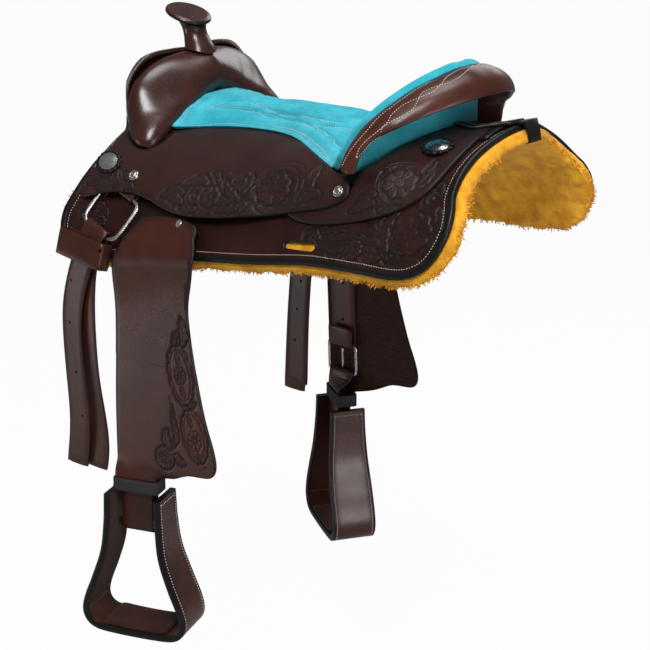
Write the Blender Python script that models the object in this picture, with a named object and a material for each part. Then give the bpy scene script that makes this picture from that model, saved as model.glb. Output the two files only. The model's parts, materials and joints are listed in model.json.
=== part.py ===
"""A western pleasure saddle, at rest as it hangs on its stand.

Metres, +Z up. The horn is at -X, the cantle at +X, the near side at -Y. Sizes below are in millimetres.
Every leather layer lies on one arched form, the horse's back, at its own height above it. A place on
the form is (x, t): x runs fore and aft, t is the arc length down from the spine.
"""

import functools
import math

import bpy
from mathutils import Vector
from mathutils.bvhtree import BVHTree
from mathutils.geometry import delaunay_2d_cdt

for item in list(bpy.data.objects):
    bpy.data.objects.remove(item, do_unlink=True)

MM = 0.001
NEAR, FAR = -1, 1
SIDES = (("left", NEAR), ("right", FAR))

# The arched form
form_front = -270.0
form_rear = 300.0
spine_front = 16.0
spine_rear = 65.0
spine_dip = 32.0
crown_slope = 16.4
flank_slope = 72.8
bend_front = 172.0
bend_rear = 125.5
bend_reach = 110.0
crown_reach = 40.0

# Thicknesses and gaps
gap = 0.4
lining_gap = 0.8
lap_gap = 1.4
hung_gap = 2.0
fleece_depth = 13.0
skirt_leather = 4.5
bar_depth = 15.0
jockey_leather = 4.0
ground_leather = 3.0
pad_crown = 11.0
pad_edge = 5.0
crest_edge = 8.0
fork_clear = 1.2
fork_leather = 3.5
fork_foot_gap = 1.2
front_lip = 17.0
sewn_gap = 1.3
strap_leather = 3.3
fender_leather = 3.5

# Skirt, bars and jockeys
binding_width = 7.0
binding_wall = 1.6
fleece_overhang = 7.0
skirt_channel = 46.0
bar_inner = 50.0
bar_outer = 132.0
bar_front = -226.0
bar_rear = 178.0

# Horn
horn_cap_radius = 31.0
horn_cap_thickness = 8.0
horn_cap_tilt = 19.0
horn_neck_radius = 16.5
horn_base_radius = 21.0
horn_binding = 2.4
horn_lean = 20.0
horn_height = 45.0

# Cantle and its roll
cantle_top_x = 206.0
cantle_top_z = 130.0
cantle_half_width = 133.0
cantle_foot_z = 16.0
cantle_sweep = 75.6
roll_reach = 37.0
roll_drop = 23.0
roll_half_width = 147.0
roll_sweep = 77.0
roll_bulge = 8.5
back_leather = 2.5

# Hung parts
fender_x = -107.0
strap_x = -138.0
strap_width = 45.0
fender_foot_y = 218.0
stirrup_twist = {NEAR: 19.0, FAR: 33.0}
stirrup_top_z = -446.0
stirrup_height = 198.0
stirrup_neck = 80.0
stirrup_foot = 150.0
stirrup_wall = 9.0
stirrup_depth_top = 51.0
tread_depth = 64.0
tread_leather = 3.0
bolt_drop = 46.0
bolt_radius = 6.0
neck_half_width = 29.0
band_height = 18.0
band_wall = 1.5
buckle_wire = 2.2
buckle_width = 52.0
buckle_height = 46.0
buckle_z = -374.0

# Rigging
dee_wire = 2.8
dee_width = 72.0
dee_length = 68.0
latigo_width = 40.0
latigo_leather = 3.0
concho_length = 30.0
concho_width = 24.0
rosette_rim = 5.0
screw_radius = 7.0


def ease(share):
    """A smooth 0 to 1 ramp."""
    share = min(max(share, 0.0), 1.0)
    return share * share * (3 - 2 * share)


def mix(first, second, share):
    return first + (second - first) * share


def slope(x, t):
    """How steeply the form falls, in radians, at arc length t from the spine."""
    along = (x - form_front) / (form_rear - form_front)
    middle = mix(bend_front, bend_rear, along)
    turn = ease((t - middle + bend_reach) / (2 * bend_reach))
    crown = crown_slope * min(max(t / crown_reach, 0.0), 1.0)
    return math.radians(crown + (flank_slope - crown_slope) * turn)


def spine(x):
    along = (x - form_front) / (form_rear - form_front)
    middle = (form_front + form_rear) / 2
    half = (form_rear - form_front) / 2
    return mix(spine_front, spine_rear, along) - spine_dip * (1 - ((x - middle) / half) ** 2)


@functools.lru_cache(maxsize=None)
def form_base(x, t):
    """The far-side point of the form itself."""
    steps = 20
    step = t / steps
    y = 0.0
    z = spine(x)
    for index in range(steps):
        angle = slope(x, (index + 0.5) * step)
        y += math.cos(angle) * step
        z -= math.sin(angle) * step
    return Vector((x, y, z))


@functools.lru_cache(maxsize=None)
def form_normal(x, t):
    along_x = form_base(x + 1, t) - form_base(x - 1, t)
    along_t = form_base(x, t + 1) - form_base(x, t - 1)
    return along_x.cross(along_t).normalized()


def form(x, t, lift=0.0, side=FAR):
    """The point at height lift above place (x, t) of one side."""
    point = form_base(round(x, 3), round(t, 3)) + form_normal(round(x, 3), round(t, 3)) * lift
    return Vector((point.x, side * point.y, point.z))


def place_of(point):
    """(t, lift) of a point, on the side that it lies."""
    x, y, z = point.x, abs(point.y), point.z
    t = y * 1.15
    for _ in range(12):
        base = form_base(round(x, 2), round(t, 3))
        angle = slope(x, t)
        t += (y - base.y) * math.cos(angle) - (z - base.z) * math.sin(angle)
        t = max(t, 0.0)
    base = form_base(round(x, 2), round(t, 3))
    angle = slope(x, t)
    return t, (y - base.y) * math.sin(angle) + (z - base.z) * math.cos(angle)


def raised(point, floor, inset=0.0):
    """The point, lifted off the form to the height that floor(x, t) gives where it lies below it."""
    t, lift = place_of(point)
    short = floor(point.x, t) + inset - lift
    if short <= 0:
        return point
    angle = slope(point.x, t)
    side = NEAR if point.y < 0 else FAR
    return point + Vector((0, side * math.sin(angle), math.cos(angle))) * short


# Layer heights above the form
on_skirt = skirt_leather + gap
bar_top = on_skirt + bar_depth


def bar_height(x, t):
    """Top of a tree bar: its inner and outer edges are eased down."""
    inner = 10.0 * (1 - ease((t - bar_inner) / 32))
    outer = 6.0 * ease((t - bar_outer + 20) / 20)
    end = 4.0 * ease((x - bar_rear + 36) / 36)
    return bar_top - inner - outer - end


def deck(x, t):
    """What rests on the tree lies no lower than this."""
    beyond = ease((t - bar_outer - 6) / 16)
    return mix(bar_height(x, min(max(t, bar_inner), bar_outer)), skirt_leather, beyond) + gap


def over_rear(x):
    """1 where the seat jockey lies over the rear jockey."""
    return ease(x / 55)


def lip(x):
    """Arc length where a jockey's skirt-side lip levels out."""
    return mix(200.0, 170.0, ease((x + 50) / 110))


def rear_jockey_height(x, t):
    on_bar = ease((lip(x) - t) / 60) * ease((bar_rear + 60 - x) / 55)
    return mix(on_skirt + gap, bar_top + gap, on_bar)


def seat_jockey_height(x, t):
    front = mix(8.0, front_lip, ease((x + 252) / 34))
    edge = mix(front, on_skirt + gap + jockey_leather + lap_gap, over_rear(x))
    top = bar_top + gap + over_rear(x) * (jockey_leather + lap_gap)
    on_bar = ease((lip(x) - t) / 60) * ease((x + 262) / 34)
    return mix(edge, top, on_bar) + ear_rise(x, t)


def ear_rise(x, t):
    """The front corner of the seat jockey curls up in front of the fork."""
    return 16.0 * ease((-243 - x) / 22) * ease((112 - t) / 26)


# Mesh helpers
def finish(obj, colour, roughness, metallic=0.0):
    material = bpy.data.materials.new(obj.name)
    material.use_nodes = True
    shader = material.node_tree.nodes["Principled BSDF"]
    shader.inputs["Base Color"].default_value = (*colour, 1.0)
    shader.inputs["Roughness"].default_value = roughness
    shader.inputs["Metallic"].default_value = metallic
    material.diffuse_color = (*colour, 1.0)
    obj.data.materials.append(material)


LEATHER = ((0.052, 0.017, 0.011), 0.38)
DARK_LEATHER = ((0.028, 0.010, 0.008), 0.42)
ROLL_LEATHER = ((0.085, 0.026, 0.014), 0.36)
BLACK = ((0.010, 0.008, 0.008), 0.45)
SUEDE = ((0.030, 0.480, 0.560), 0.9)
WOOL = ((0.800, 0.430, 0.045), 0.95)
WOOD = ((0.420, 0.270, 0.130), 0.6)
STEEL = ((0.620, 0.610, 0.590), 0.28, 1.0)
SILVER = ((0.740, 0.730, 0.710), 0.2, 1.0)
ELASTIC = ((0.012, 0.012, 0.013), 0.7)
RED_SUEDE = ((0.110, 0.030, 0.016), 0.85)


def solid(name, points, faces, look, pivot=None):
    """One named object from points in millimetres, its origin at pivot."""
    origin = (pivot or Vector((0, 0, 0))) * MM
    mesh = bpy.data.meshes.new(name)
    mesh.from_pydata([point * MM - origin for point in points], [], faces)
    volume = 0.0
    for face in mesh.polygons:
        corners = [mesh.vertices[index].co for index in face.vertices]
        for second, third in zip(corners[1:], corners[2:]):
            volume += corners[0].dot(second.cross(third))
    if volume < 0:
        mesh.flip_normals()
    mesh.update()
    obj = bpy.data.objects.new(name, mesh)
    obj.location = origin
    bpy.context.collection.objects.link(obj)
    finish(obj, *look)
    return obj


def loft(rings, closed=False):
    """Points and faces of a solid through rings of points: capped at both ends, or closed on itself.

    A cap joins the ring's first half to its second, so the ring may be C-shaped.
    """
    count = len(rings[0])
    points = [point for ring in rings for point in ring]
    faces = []
    for row in range(len(rings) if closed else len(rings) - 1):
        here = row * count
        there = (row + 1) % len(rings) * count
        for column in range(count):
            after = (column + 1) % count
            faces.append((here + column, here + after, there + after, there + column))
    if not closed:
        first, last = 0, count - 1
        top = len(points) - count
        while first + 1 < last:
            cap = [first, first + 1, last - 1, last] if first + 1 < last - 1 else [first, first + 1, last]
            faces.append(tuple(cap[::-1]))
            faces.append(tuple(top + index for index in cap))
            first += 1
            last -= 1
    return points, faces


def frames(path, closed=False):
    """The direction of a path at each of its points."""
    found = []
    for index, point in enumerate(path):
        before = path[index - 1] if closed or index else point
        after = path[(index + 1) % len(path)] if closed or index + 1 < len(path) else point
        found.append((after - before).normalized())
    return found


def tube(path, radius, across, sides=8, closed=False):
    """Rings of a round bar along a path."""
    rings = []
    for point, way in zip(path, frames(path, closed)):
        first = (across - way * across.dot(way)).normalized()
        second = way.cross(first)
        ring = []
        for index in range(sides):
            angle = 2 * math.pi * index / sides
            ring.append(point + (first * math.cos(angle) + second * math.sin(angle)) * radius)
        rings.append(ring)
    return rings


def strap(path, across, width, thickness, closed=False):
    """Rings of a flat strap. across gives its width's direction at each point, or one for all."""
    rings = []
    for index, (point, way) in enumerate(zip(path, frames(path, closed))):
        side = across[index] if isinstance(across, list) else across
        broad = width[index] if isinstance(width, list) else width
        up = way.cross(side).normalized() * thickness / 2
        half = side * broad / 2
        rings.append([point + half + up, point - half + up, point - half - up, point + half - up])
    return rings


def through(points, pieces=4):
    """A smooth open line through hand-set points, as a Catmull-Rom curve."""
    dense = []
    size = len(points[0])
    for index in range(len(points) - 1):
        p0 = points[max(index - 1, 0)]
        p1 = points[index]
        p2 = points[index + 1]
        p3 = points[min(index + 2, len(points) - 1)]
        for step in range(pieces):
            u = step / pieces
            dense.append(tuple(
                0.5 * (2 * p1[k] + (p2[k] - p0[k]) * u
                       + (2 * p0[k] - 5 * p1[k] + 4 * p2[k] - p3[k]) * u * u
                       + (3 * p1[k] - p0[k] - 3 * p2[k] + p3[k]) * u ** 3)
                for k in range(size)
            ))
    dense.append(tuple(points[-1]))
    return dense


def vectors(points):
    return [Vector(point) for point in points]


def inside(point, loop):
    """Whether a 2-D point lies inside a closed loop."""
    x, y = point
    found = False
    for (x1, y1), (x2, y2) in zip(loop, loop[1:] + loop[:1]):
        if (y1 > y) != (y2 > y) and x < (x2 - x1) * (y - y1) / (y2 - y1) + x1:
            found = not found
    return found


def distance(point, loop):
    """Distance from a 2-D point to a closed loop."""
    best = 1e9
    p = Vector(point)
    for first, second in zip(loop, loop[1:] + loop[:1]):
        a = Vector(first)
        along = Vector(second) - a
        share = min(max((p - a).dot(along) / max(along.length_squared, 1e-9), 0.0), 1.0)
        best = min(best, (p - a - along * share).length)
    return best


def grown(loop, amount):
    """A closed 2-D loop moved outward by amount."""
    area = sum(a[0] * b[1] - b[0] * a[1] for a, b in zip(loop, loop[1:] + loop[:1]))
    turn = 1 if area > 0 else -1
    moved = []
    for index, point in enumerate(loop):
        before = Vector(loop[index - 1])
        after = Vector(loop[(index + 1) % len(loop)])
        way = (after - before).normalized()
        moved.append((point[0] + way.y * amount * turn, point[1] - way.x * amount * turn))
    return moved


def divided(loop, step):
    """A closed loop with no stretch longer than step."""
    dense = []
    for first, second in zip(loop, loop[1:] + loop[:1]):
        pieces = max(1, math.ceil(math.dist(first, second) / step))
        dense += [tuple(mix(a, b, k / pieces) for a, b in zip(first, second)) for k in range(pieces)]
    return dense


def sheet(outline, place, holes=(), step=24.0):
    """Points and faces of a sheet. place(u, v, top) gives the 3-D point of its lower or upper face.

    All sheets share one grid of inner points, so stacked layers stay parallel.
    """
    points = []
    edges = []
    outline = divided(outline, step)
    for loop in [outline, *holes]:
        start = len(points)
        points += loop
        edges += [(start + k, start + (k + 1) % len(loop)) for k in range(len(loop))]
    rim = len(points)
    low = [min(p[k] for p in outline) for k in (0, 1)]
    high = [max(p[k] for p in outline) for k in (0, 1)]
    for row in range(math.floor(low[1] / step), math.ceil(high[1] / step) + 1):
        for column in range(math.floor(low[0] / step), math.ceil(high[0] / step) + 1):
            spot = (column * step, row * step)
            if not inside(spot, outline) or any(inside(spot, hole) for hole in holes):
                continue
            if min(distance(spot, loop) for loop in [outline, *holes]) > step * 0.3:
                points.append(spot)
    flat = [Vector(point) for point in points]
    spots, _, triangles = delaunay_2d_cdt(flat, edges, [], 0, 1e-6)[:3]
    kept = []
    for triangle in triangles:
        centre = tuple(sum(spots[index][k] for index in triangle) / 3 for k in (0, 1))
        if inside(centre, outline) and not any(inside(centre, hole) for hole in holes):
            kept.append(triangle)
    count = len(spots)
    used = {}
    for triangle in kept:
        for first, second in zip(triangle, triangle[1:] + triangle[:1]):
            used[(first, second)] = True
    border = [edge for edge in used if (edge[1], edge[0]) not in used]
    solids = [place(spot[0], spot[1], False) for spot in spots]
    solids += [place(spot[0], spot[1], True) for spot in spots]
    faces = [tuple(index + count for index in triangle) for triangle in kept]
    faces += [tuple(triangle)[::-1] for triangle in kept]
    faces += [(first, second + count, first + count) for first, second in border]
    faces += [(first, second, second + count) for first, second in border]
    return solids, faces


def layer(name, outline, side, low, high, look, holes=(), step=24.0, pivot=None):
    """A sheet on the form between two heights, which are numbers or functions of (x, t)."""
    def place(x, t, top):
        height = high if top else low
        return form(x, t, height(x, t) if callable(height) else height, side)
    return solid(name, *sheet(outline, place, holes, step), look, pivot)


# Skirts, their binding and the fleece
SKIRT_FRONT = [(-246, 62), (-252, 90), (-255, 119), (-258, 144), (-262, 175), (-268, 207), (-274, 232),
               (-272, 255), (-263, 272), (-246, 280), (-226, 277)]
SKIRT_FOOT = [(-226, 277), (-160, 258), (-100, 243), (-44, 233), (33, 224), (112, 217), (182, 222),
              (236, 230), (262, 229), (282, 220), (296, 200), (301, 175), (297, 152)]
SKIRT_REAR = [(297, 152), (290, 134), (286, 104), (287, 68), (293, 36), (298, 14), (300, 0.5)]
SLOT = [(78, 193), (118, 192), (121, 195), (121, 199), (117, 202), (79, 201), (75, 198), (75, 195)]


def skirt_edge():
    edge = through(SKIRT_FRONT, 2)[:-1] + through(SKIRT_FOOT, 2)[:-1] + through(SKIRT_REAR, 2)
    return edge


def skirt_outline():
    """The leather stops short of the binding's wall."""
    inner = [(213, 0.5), (206, 22), (180, skirt_channel), (60, skirt_channel), (-120, skirt_channel),
             (-200, skirt_channel + 4), (-236, skirt_channel + 8)]
    return skirt_edge() + inner


def binding_rings(side):
    """A folded strip over the skirt's top and its edge."""
    edge = skirt_edge()
    lift = skirt_leather
    back = -binding_width
    profile = [(back, lift + gap), (gap, lift + gap), (gap, -0.1), (gap + binding_wall, -0.1),
               (gap + binding_wall, lift + binding_wall), (0.2, lift + gap + binding_wall),
               (back, lift + gap + binding_wall)]
    rings = []
    for index, point in enumerate(edge):
        before = Vector(edge[max(index - 1, 0)])
        after = Vector(edge[min(index + 1, len(edge) - 1)])
        way = (after - before).normalized()
        out = Vector((-way.y, way.x))
        if index in (0, len(edge) - 1):
            out = Vector((-1, 0)) if index == 0 else Vector((1, 0))
        rings.append([form(point[0] + out.x * e, point[1] + out.y * e, n, side) for e, n in profile])
    return rings


def fleece_outline():
    """One lining for both skirts: the far edge, the near edge, then the channel between them."""
    far = skirt_edge()
    inner = skirt_outline()[len(far) + 1:]
    near = [(x, -t) for x, t in reversed(far)]
    return far + near + [(x, -t) for x, t in reversed(inner)] + [(214, 0)] + inner


def fleece_face(x, t, top):
    low = -lining_gap - fleece_depth
    return form(x, abs(t), -lining_gap if top else low, FAR if t >= 0 else NEAR)


solid("fleece_lining", *sheet(grown(fleece_outline(), fleece_overhang), fleece_face), WOOL)
for word, side in SIDES:
    layer("skirt_" + word, skirt_outline(), side, 0.0, skirt_leather, LEATHER, holes=[SLOT])
    solid("skirt_binding_" + word, *loft(binding_rings(side)), BLACK)

# Tree bars
BAR = [(bar_front, 62), (bar_front + 8, bar_inner), (-120, bar_inner), (60, bar_inner),
       (bar_rear - 10, bar_inner), (bar_rear, 62), (bar_rear, 118), (bar_rear - 14, bar_outer),
       (60, bar_outer), (-120, bar_outer), (bar_front + 12, bar_outer), (bar_front, 120)]
for word, side in SIDES:
    layer("tree_bar_" + word, BAR, side, on_skirt, bar_height, WOOD)

# Fork: a swelled arch. Each row: share of the way to the foot, x, y, z, half height, half depth
FORK = [(0.0, -212, 0, 66, 31, 33), (0.25, -211, 46, 64, 30, 34), (0.45, -210, 82, 48, 31, 35),
        (0.62, -208, 103, 25, 32, 33), (0.80, -202, 115, 2, 26, 27), (1.0, -192, 124, -19, 9, 11)]
FORK_SHARES = [0.14, 0.28, 0.4, 0.5, 0.6, 0.7, 0.8, 0.87, 0.91, 0.935]
COVER_REAR_ANGLE = 125
COVER_SEAM_ANGLE = 310
fork_line = through(FORK, 6)


def fork_at(share):
    """(x, y, z, half height, half depth) of the arch at a share of the way to its foot."""
    far = min(abs(share), 1.0)
    for first, second in zip(fork_line, fork_line[1:]):
        if far <= second[0] + 1e-9:
            part = (far - first[0]) / (second[0] - first[0])
            return [mix(a, b, part) for a, b in zip(first[1:], second[1:])]
    return list(fork_line[-1][1:])


def fork_point(share, angle, inset):
    """A point round the arch: angle 0 outward, 90 to the rear, 180 in the gullet, 270 to the front."""
    x, y, z, high, deep = fork_at(share)
    before = fork_at(max(abs(share) - 0.03, 0.0))
    after = fork_at(abs(share) + 0.03)
    out = Vector((0, before[2] - after[2], after[1] - before[1])).normalized()
    turn = math.radians(angle)
    point = Vector((x + (deep - inset) * math.sin(turn), y, z)) + out * (high - inset) * math.cos(turn)
    point = raised(point, deck, inset / 2 + fork_foot_gap)
    return Vector((point.x, -point.y if share < 0 else point.y, point.z))


def fork_shares():
    return [-share for share in reversed(FORK_SHARES)] + [0.0] + FORK_SHARES


def fork_wrap(first, last, steps):
    """Rings of a leather skin round the arch, between two angles."""
    angles = [first + (last - first) * k / steps for k in range(steps + 1)]
    return [[fork_point(share, angle, 0.0) for angle in angles]
            + [fork_point(share, angle, fork_leather) for angle in reversed(angles)]
            for share in fork_shares()]


cover_points, cover_faces = loft(fork_wrap(COVER_SEAM_ANGLE - 360, COVER_REAR_ANGLE, 10))
solid("fork_cover", cover_points, cover_faces, DARK_LEATHER)
cover_tree = BVHTree.FromPolygons(cover_points, cover_faces)
front_points, front_faces = loft(fork_wrap(COVER_REAR_ANGLE + 2, COVER_SEAM_ANGLE - 2, 10))
solid("fork_front_cover", front_points, front_faces, DARK_LEATHER)
fork_trees = (cover_tree, BVHTree.FromPolygons(front_points, front_faces))
core_inset = fork_leather + 3.0
solid("fork_core", *loft([[fork_point(share, angle, core_inset) for angle in range(0, 360, 20)]
                          for share in fork_shares()[2:-2]]), WOOD)

# Jockeys
PAD_LINE = [(-179, 86), (-176, 86), (-172, 85), (-168, 83), (-162, 79), (-147, 69), (-122, 59), (-90, 50.5), (-60, 47), (-30, 48), (0, 54),
            (25, 65), (50, 79), (75, 92), (98, 103), (118, 112)]
JOCKEY_FOOT = [(148, 124), (154, 133), (150, 143), (126, 153), (72, 162), (-4, 179), (-51, 187),
               (-86, 190), (-115, 188), (-138, 184), (-170, 183), (-205, 192), (-240, 206), (-252, 206),
               (-256, 196)]
JOCKEY_FRONT = [(-256, 196), (-251, 165), (-248, 140), (-247, 118), (-251, 104), (-262, 88), (-268, 78)]
REAR_JOCKEY_FOOT = [(60, 174), (105, 171), (150, 168), (197, 161), (230, 150), (250, 136), (261, 116),
                    (267, 90), (269, 50), (266, 20), (262, 0.6)]
notch_gap = 1.8
notch_top = 86.0


def below(line, amount):
    """The line of a jockey's edge, moved down the flank."""
    return [(x, t + amount) for x, t in line]



def hull(spots):
    """The convex loop round 2-D points, from the front below to the front above."""
    halves = []
    for line in (sorted(spots), sorted(spots, reverse=True)):
        half = []
        for spot in line:
            while len(half) > 1:
                (x1, y1), (x2, y2) = half[-2:]
                if (x2 - x1) * (spot[1] - y1) - (y2 - y1) * (spot[0] - x1) > 0:
                    break
                half.pop()
            half.append(spot)
        halves += half[:-1]
    return halves


def fork_notch():
    """The seat jockey's edge round the fork's foot, from the front to the rear."""
    feet = []
    for share in (0.4, 0.45, 0.5, 0.55, 0.6, 0.65, 0.7, 0.75, 0.8, 0.84, 0.88, 0.91, 0.935):
        for angle in range(0, 360, 12):
            point = fork_point(share, angle, 0.0)
            t, lift = place_of(point)
            if lift < bar_top + gap + jockey_leather + 7:
                feet.append((point.x, t))
    loop = grown(hull(feet), notch_gap)[::-1]
    first = next(k for k in range(len(loop)) if loop[k - 1][1] <= notch_top < loop[k][1])
    line = [spot for spot in loop[first:] + loop[:first] if spot[1] > notch_top]
    thinned = line[:1]
    for spot in line[1:]:
        if math.dist(spot, thinned[-1]) > 5:
            thinned.append(spot)
    return thinned


def wall(angle, out):
    """(x, y) of the cantle's back in plan: under its crest, moved outward by out."""
    here = crest(angle)
    way = outward(angle)
    return here.x + way.x * out, here.y + way.y * out


def arc_at(x, y, lift):
    """The arc length t at which a surface at this height above the form reaches y."""
    t = abs(y) * 1.1
    for _ in range(10):
        t = max(t + (abs(y) - form(x, t, lift).y) * 0.9, 0.0)
    return t


# Seat: the pad's upper face runs from the fork to the cantle's crest
SEAT_MIDDLE = [(-203, 42), (-194, 43), (-186, 43), (-179, 43), (-170, 42.5), (-150, 42), (-118, 43.5), (-85, 45), (-55, 46.5), (-25, 47.5),
               (2, 48), (25, 47.5), (44, 46.5), (60, 45.5), (74, 45), (88, 45.5)]
CANTLE_MIDDLE = [(98, 46.5), (110, 49.5), (124, 55), (140, 64), (158, 79), (178, 98), (194, 115),
                 (cantle_top_x - 1, cantle_top_z - 1.5)]
CREST_ANGLES = [82, 70, 58, 46, 34, 22, 11, 5]
PAD_SHARES = [0, 0.2, 0.38, 0.5, 0.56, 0.62, 0.76, 0.87, 0.92, 1.0]
PAD_CHANNELS = {0.56: 1.6, 0.87: 1.2}
seat_rows = len(SEAT_MIDDLE) + len(CANTLE_MIDDLE)


def crest(angle):
    """A point of the cantle's crest, angle 0 at its top and 90 at the near tip."""
    sine = math.sin(math.radians(angle))
    cosine = max(math.cos(math.radians(angle)), 0.0)
    rise = (cantle_top_z - cantle_foot_z) * cosine ** 1.12
    return Vector((cantle_top_x - cantle_sweep * sine * sine, -cantle_half_width * sine,
                   cantle_foot_z + rise))


def outward(angle):
    """The horizontal way out of the cantle's crest."""
    along = crest(angle + 1) - crest(angle - 1)
    return Vector((-along.y, along.x, 0)).normalized()


def seat_row(index):
    """Centre and near edge of one row across the seat."""
    if index < len(SEAT_MIDDLE):
        x, z = SEAT_MIDDLE[index]
        return Vector((x, 0, z)), form(*PAD_LINE[index], bar_top + gap + jockey_leather + 1.5, NEAR)
    x, z = CANTLE_MIDDLE[index - len(SEAT_MIDDLE)]
    return Vector((x, 0, z)), crest(CREST_ANGLES[index - len(SEAT_MIDDLE)])


def seat_point(index, share):
    """A point of the seat's upper face; share runs from -1 on the far side to 1 on the near side."""
    centre, edge = seat_row(index)
    far = abs(share)
    crown = mix(3.6, 2.2, ease((centre.x + 190) / 60))
    return Vector((mix(centre.x, edge.x, far ** 2), edge.y * share, mix(centre.z, edge.z, far ** crown)))


def seat_normal(index, share):
    low = max(index - 1, 0)
    high = min(index + 1, seat_rows - 1)
    along = seat_point(high, share) - seat_point(low, share)
    across = seat_point(index, min(share + 0.05, 1.0)) - seat_point(index, max(share - 0.05, -1.0))
    return across.cross(along).normalized()


def under_fork(point, depth):
    """The point, lowered where it would touch the fork's underside."""
    low = point.z
    for tree in fork_trees:
        hit = tree.ray_cast(Vector((point.x, point.y, -60)), Vector((0, 0, 1)))[0]
        if hit and point.x < -168:
            low = min(low, hit.z - fork_clear - depth)
    return Vector((point.x, point.y, low))


def seat_grid(depth, floor, thick):
    """The seat's face sunk by depth(row, share), but no lower than floor above the tree."""
    shares = [-share for share in PAD_SHARES[:0:-1]] + PAD_SHARES
    grid = []
    for index in range(seat_rows):
        row = []
        for share in shares:
            point = seat_point(index, share) - seat_normal(index, share) * depth(index, share)
            row.append(raised(under_fork(point, thick), deck, floor))
        grid.append(row)
    return grid


def slab(upper, lower):
    """Points and faces between two grids of the same size."""
    rows = len(upper)
    columns = len(upper[0])
    points = [p for row in upper for p in row] + [p for row in lower for p in row]
    under = rows * columns
    faces = []
    for row in range(rows - 1):
        for column in range(columns - 1):
            a = row * columns + column
            b = a + columns
            faces.append((a, a + 1, b + 1, b))
            faces.append((a + under, b + under, b + 1 + under, a + 1 + under))
    rim = list(range(columns))
    rim += [row * columns + columns - 1 for row in range(1, rows)]
    rim += [(rows - 1) * columns + column for column in range(columns - 2, -1, -1)]
    rim += [row * columns for row in range(rows - 2, 0, -1)]
    for first, second in zip(rim, rim[1:] + rim[:1]):
        faces.append((second, first, first + under, second + under))
    return points, faces


def pad_depth(index, share):
    edge = mix(pad_edge, crest_edge, ease((index - len(SEAT_MIDDLE) + 1) / 2))
    crown = mix(pad_crown, crest_edge, ease((index - seat_rows + 3) / 2))
    return mix(crown, edge, ease((abs(share) - 0.55) / 0.45))


def channel(index, share):
    return PAD_CHANNELS.get(round(abs(share), 2), 0.0)


pad_top = seat_grid(channel, ground_leather + gap + pad_edge - 0.6, 0.0)
pad_under = seat_grid(pad_depth, ground_leather + gap, pad_edge - 0.6)
pad_points, pad_faces = slab(pad_top, pad_under)
solid("seat_pad", pad_points, pad_faces, SUEDE)
pad_tree = BVHTree.FromPolygons(pad_points, pad_faces)


def under_pad(x, y, start=-120):
    """Height of the pad's underside over a plan point."""
    hit = pad_tree.ray_cast(Vector((x, y, start)), Vector((0, 0, 1)))[0]
    return hit.z if hit else None


def deck_z(x, y):
    """Height of the tree's deck at a plan point."""
    t = abs(y) * 1.1
    for _ in range(12):
        t = max(t + (abs(y) - form(x, t, deck(x, t)).y) * 0.9, 0.0)
    return form(x, t, deck(x, t)).z


# Tree seat: the ground seat under the pad, thickened down to the bars to carry the cantle
wall_inset = 4.5
seat_inset = 9.0
WALL_ANGLES = [62, 52, 42, 32, 22, 11, 0, -11, -22, -32, -42, -52, -62]


def tree_seat_outline():
    sides = []
    for index in range(1, len(SEAT_MIDDLE) - 1):
        edge = form(*PAD_LINE[index], bar_top + gap, NEAR)
        sides.append((edge.x, -edge.y - seat_inset))
    near = [(x, -y) for x, y in sides]
    return near + [wall(angle, -wall_inset) for angle in WALL_ANGLES] + sides[::-1]


def tree_seat_face(x, y, top):
    around = [under_pad(x + dx, y + dy) for dx, dy in ((0, 0), (4, 0), (-4, 0), (0, 4), (0, -4))]
    ceiling = min(height for height in around if height is not None)
    floor = deck_z(x, y)
    ceiling = max(ceiling - mix(0.8, 2.2, ease((ceiling - floor - 5) / 8)), floor + 1.6)
    if top:
        return Vector((x, y, ceiling))
    thick = mix(ground_leather - 0.6, 200.0, ease((x - 92) / 24))
    return Vector((x, y, max(floor + mix(0.9, 1.8, ease((x - 100) / 20)), ceiling - thick)))


solid("tree_seat", *sheet(tree_seat_outline(), tree_seat_face, step=15.0), WOOD)

for word, side in SIDES:
    outline = below(PAD_LINE, 1.0) + [(134, 119)] + through(JOCKEY_FOOT, 2)[:-1]
    outline += through(JOCKEY_FRONT, 2) + fork_notch()
    layer("seat_jockey_" + word, outline, side, seat_jockey_height,
          lambda x, t: seat_jockey_height(x, t) + jockey_leather, DARK_LEATHER)
    inner = []
    for angle in (0.3, 12, 24, 36, 48, 56):
        x, y = wall(angle, back_leather + 1.5)
        inner.append((x, max(arc_at(x, y, bar_top), 0.6)))
    inner += [(152, 136), (110, 144), (60, 150)]
    layer("rear_jockey_" + word, through(REAR_JOCKEY_FOOT, 2) + inner, side, rear_jockey_height,
          lambda x, t: rear_jockey_height(x, t) + jockey_leather, DARK_LEATHER)


# Cantle back and roll
def roll_edge(angle):
    """A point of the roll's lower rear edge."""
    sine = math.sin(math.radians(angle))
    cosine = max(math.cos(math.radians(angle)), 0.0)
    foot = cantle_foot_z - 1
    rise = (cantle_top_z - roll_drop - foot) * cosine ** 0.9
    return Vector((cantle_top_x + roll_reach - roll_sweep * sine * sine, -roll_half_width * sine,
                   foot + rise))


def roll_ring(angle, start):
    """The roll's section, from the pad's lower corner to the roll's rear edge and back."""
    out = outward(angle)
    start = start + out * (gap + 0.6)
    end = roll_edge(angle)
    way = end - start
    along = (crest(angle - 1) - crest(angle + 1)).normalized()
    up = way.cross(along).normalized()
    if up.z < 0:
        up = -up
    upper = [(0.0, 1.5), (0.12, 5.5), (0.35, roll_bulge), (0.65, roll_bulge), (0.88, 5.0), (1.0, 0.0)]
    ring = [start + way * share + up * rise for share, rise in upper]
    lower = [(0.93, -3.5), (0.6, -3.0), (0.25, -3.5), (0.04, -3.0)]
    return ring + [start + way * share + up * rise for share, rise in lower]


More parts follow.
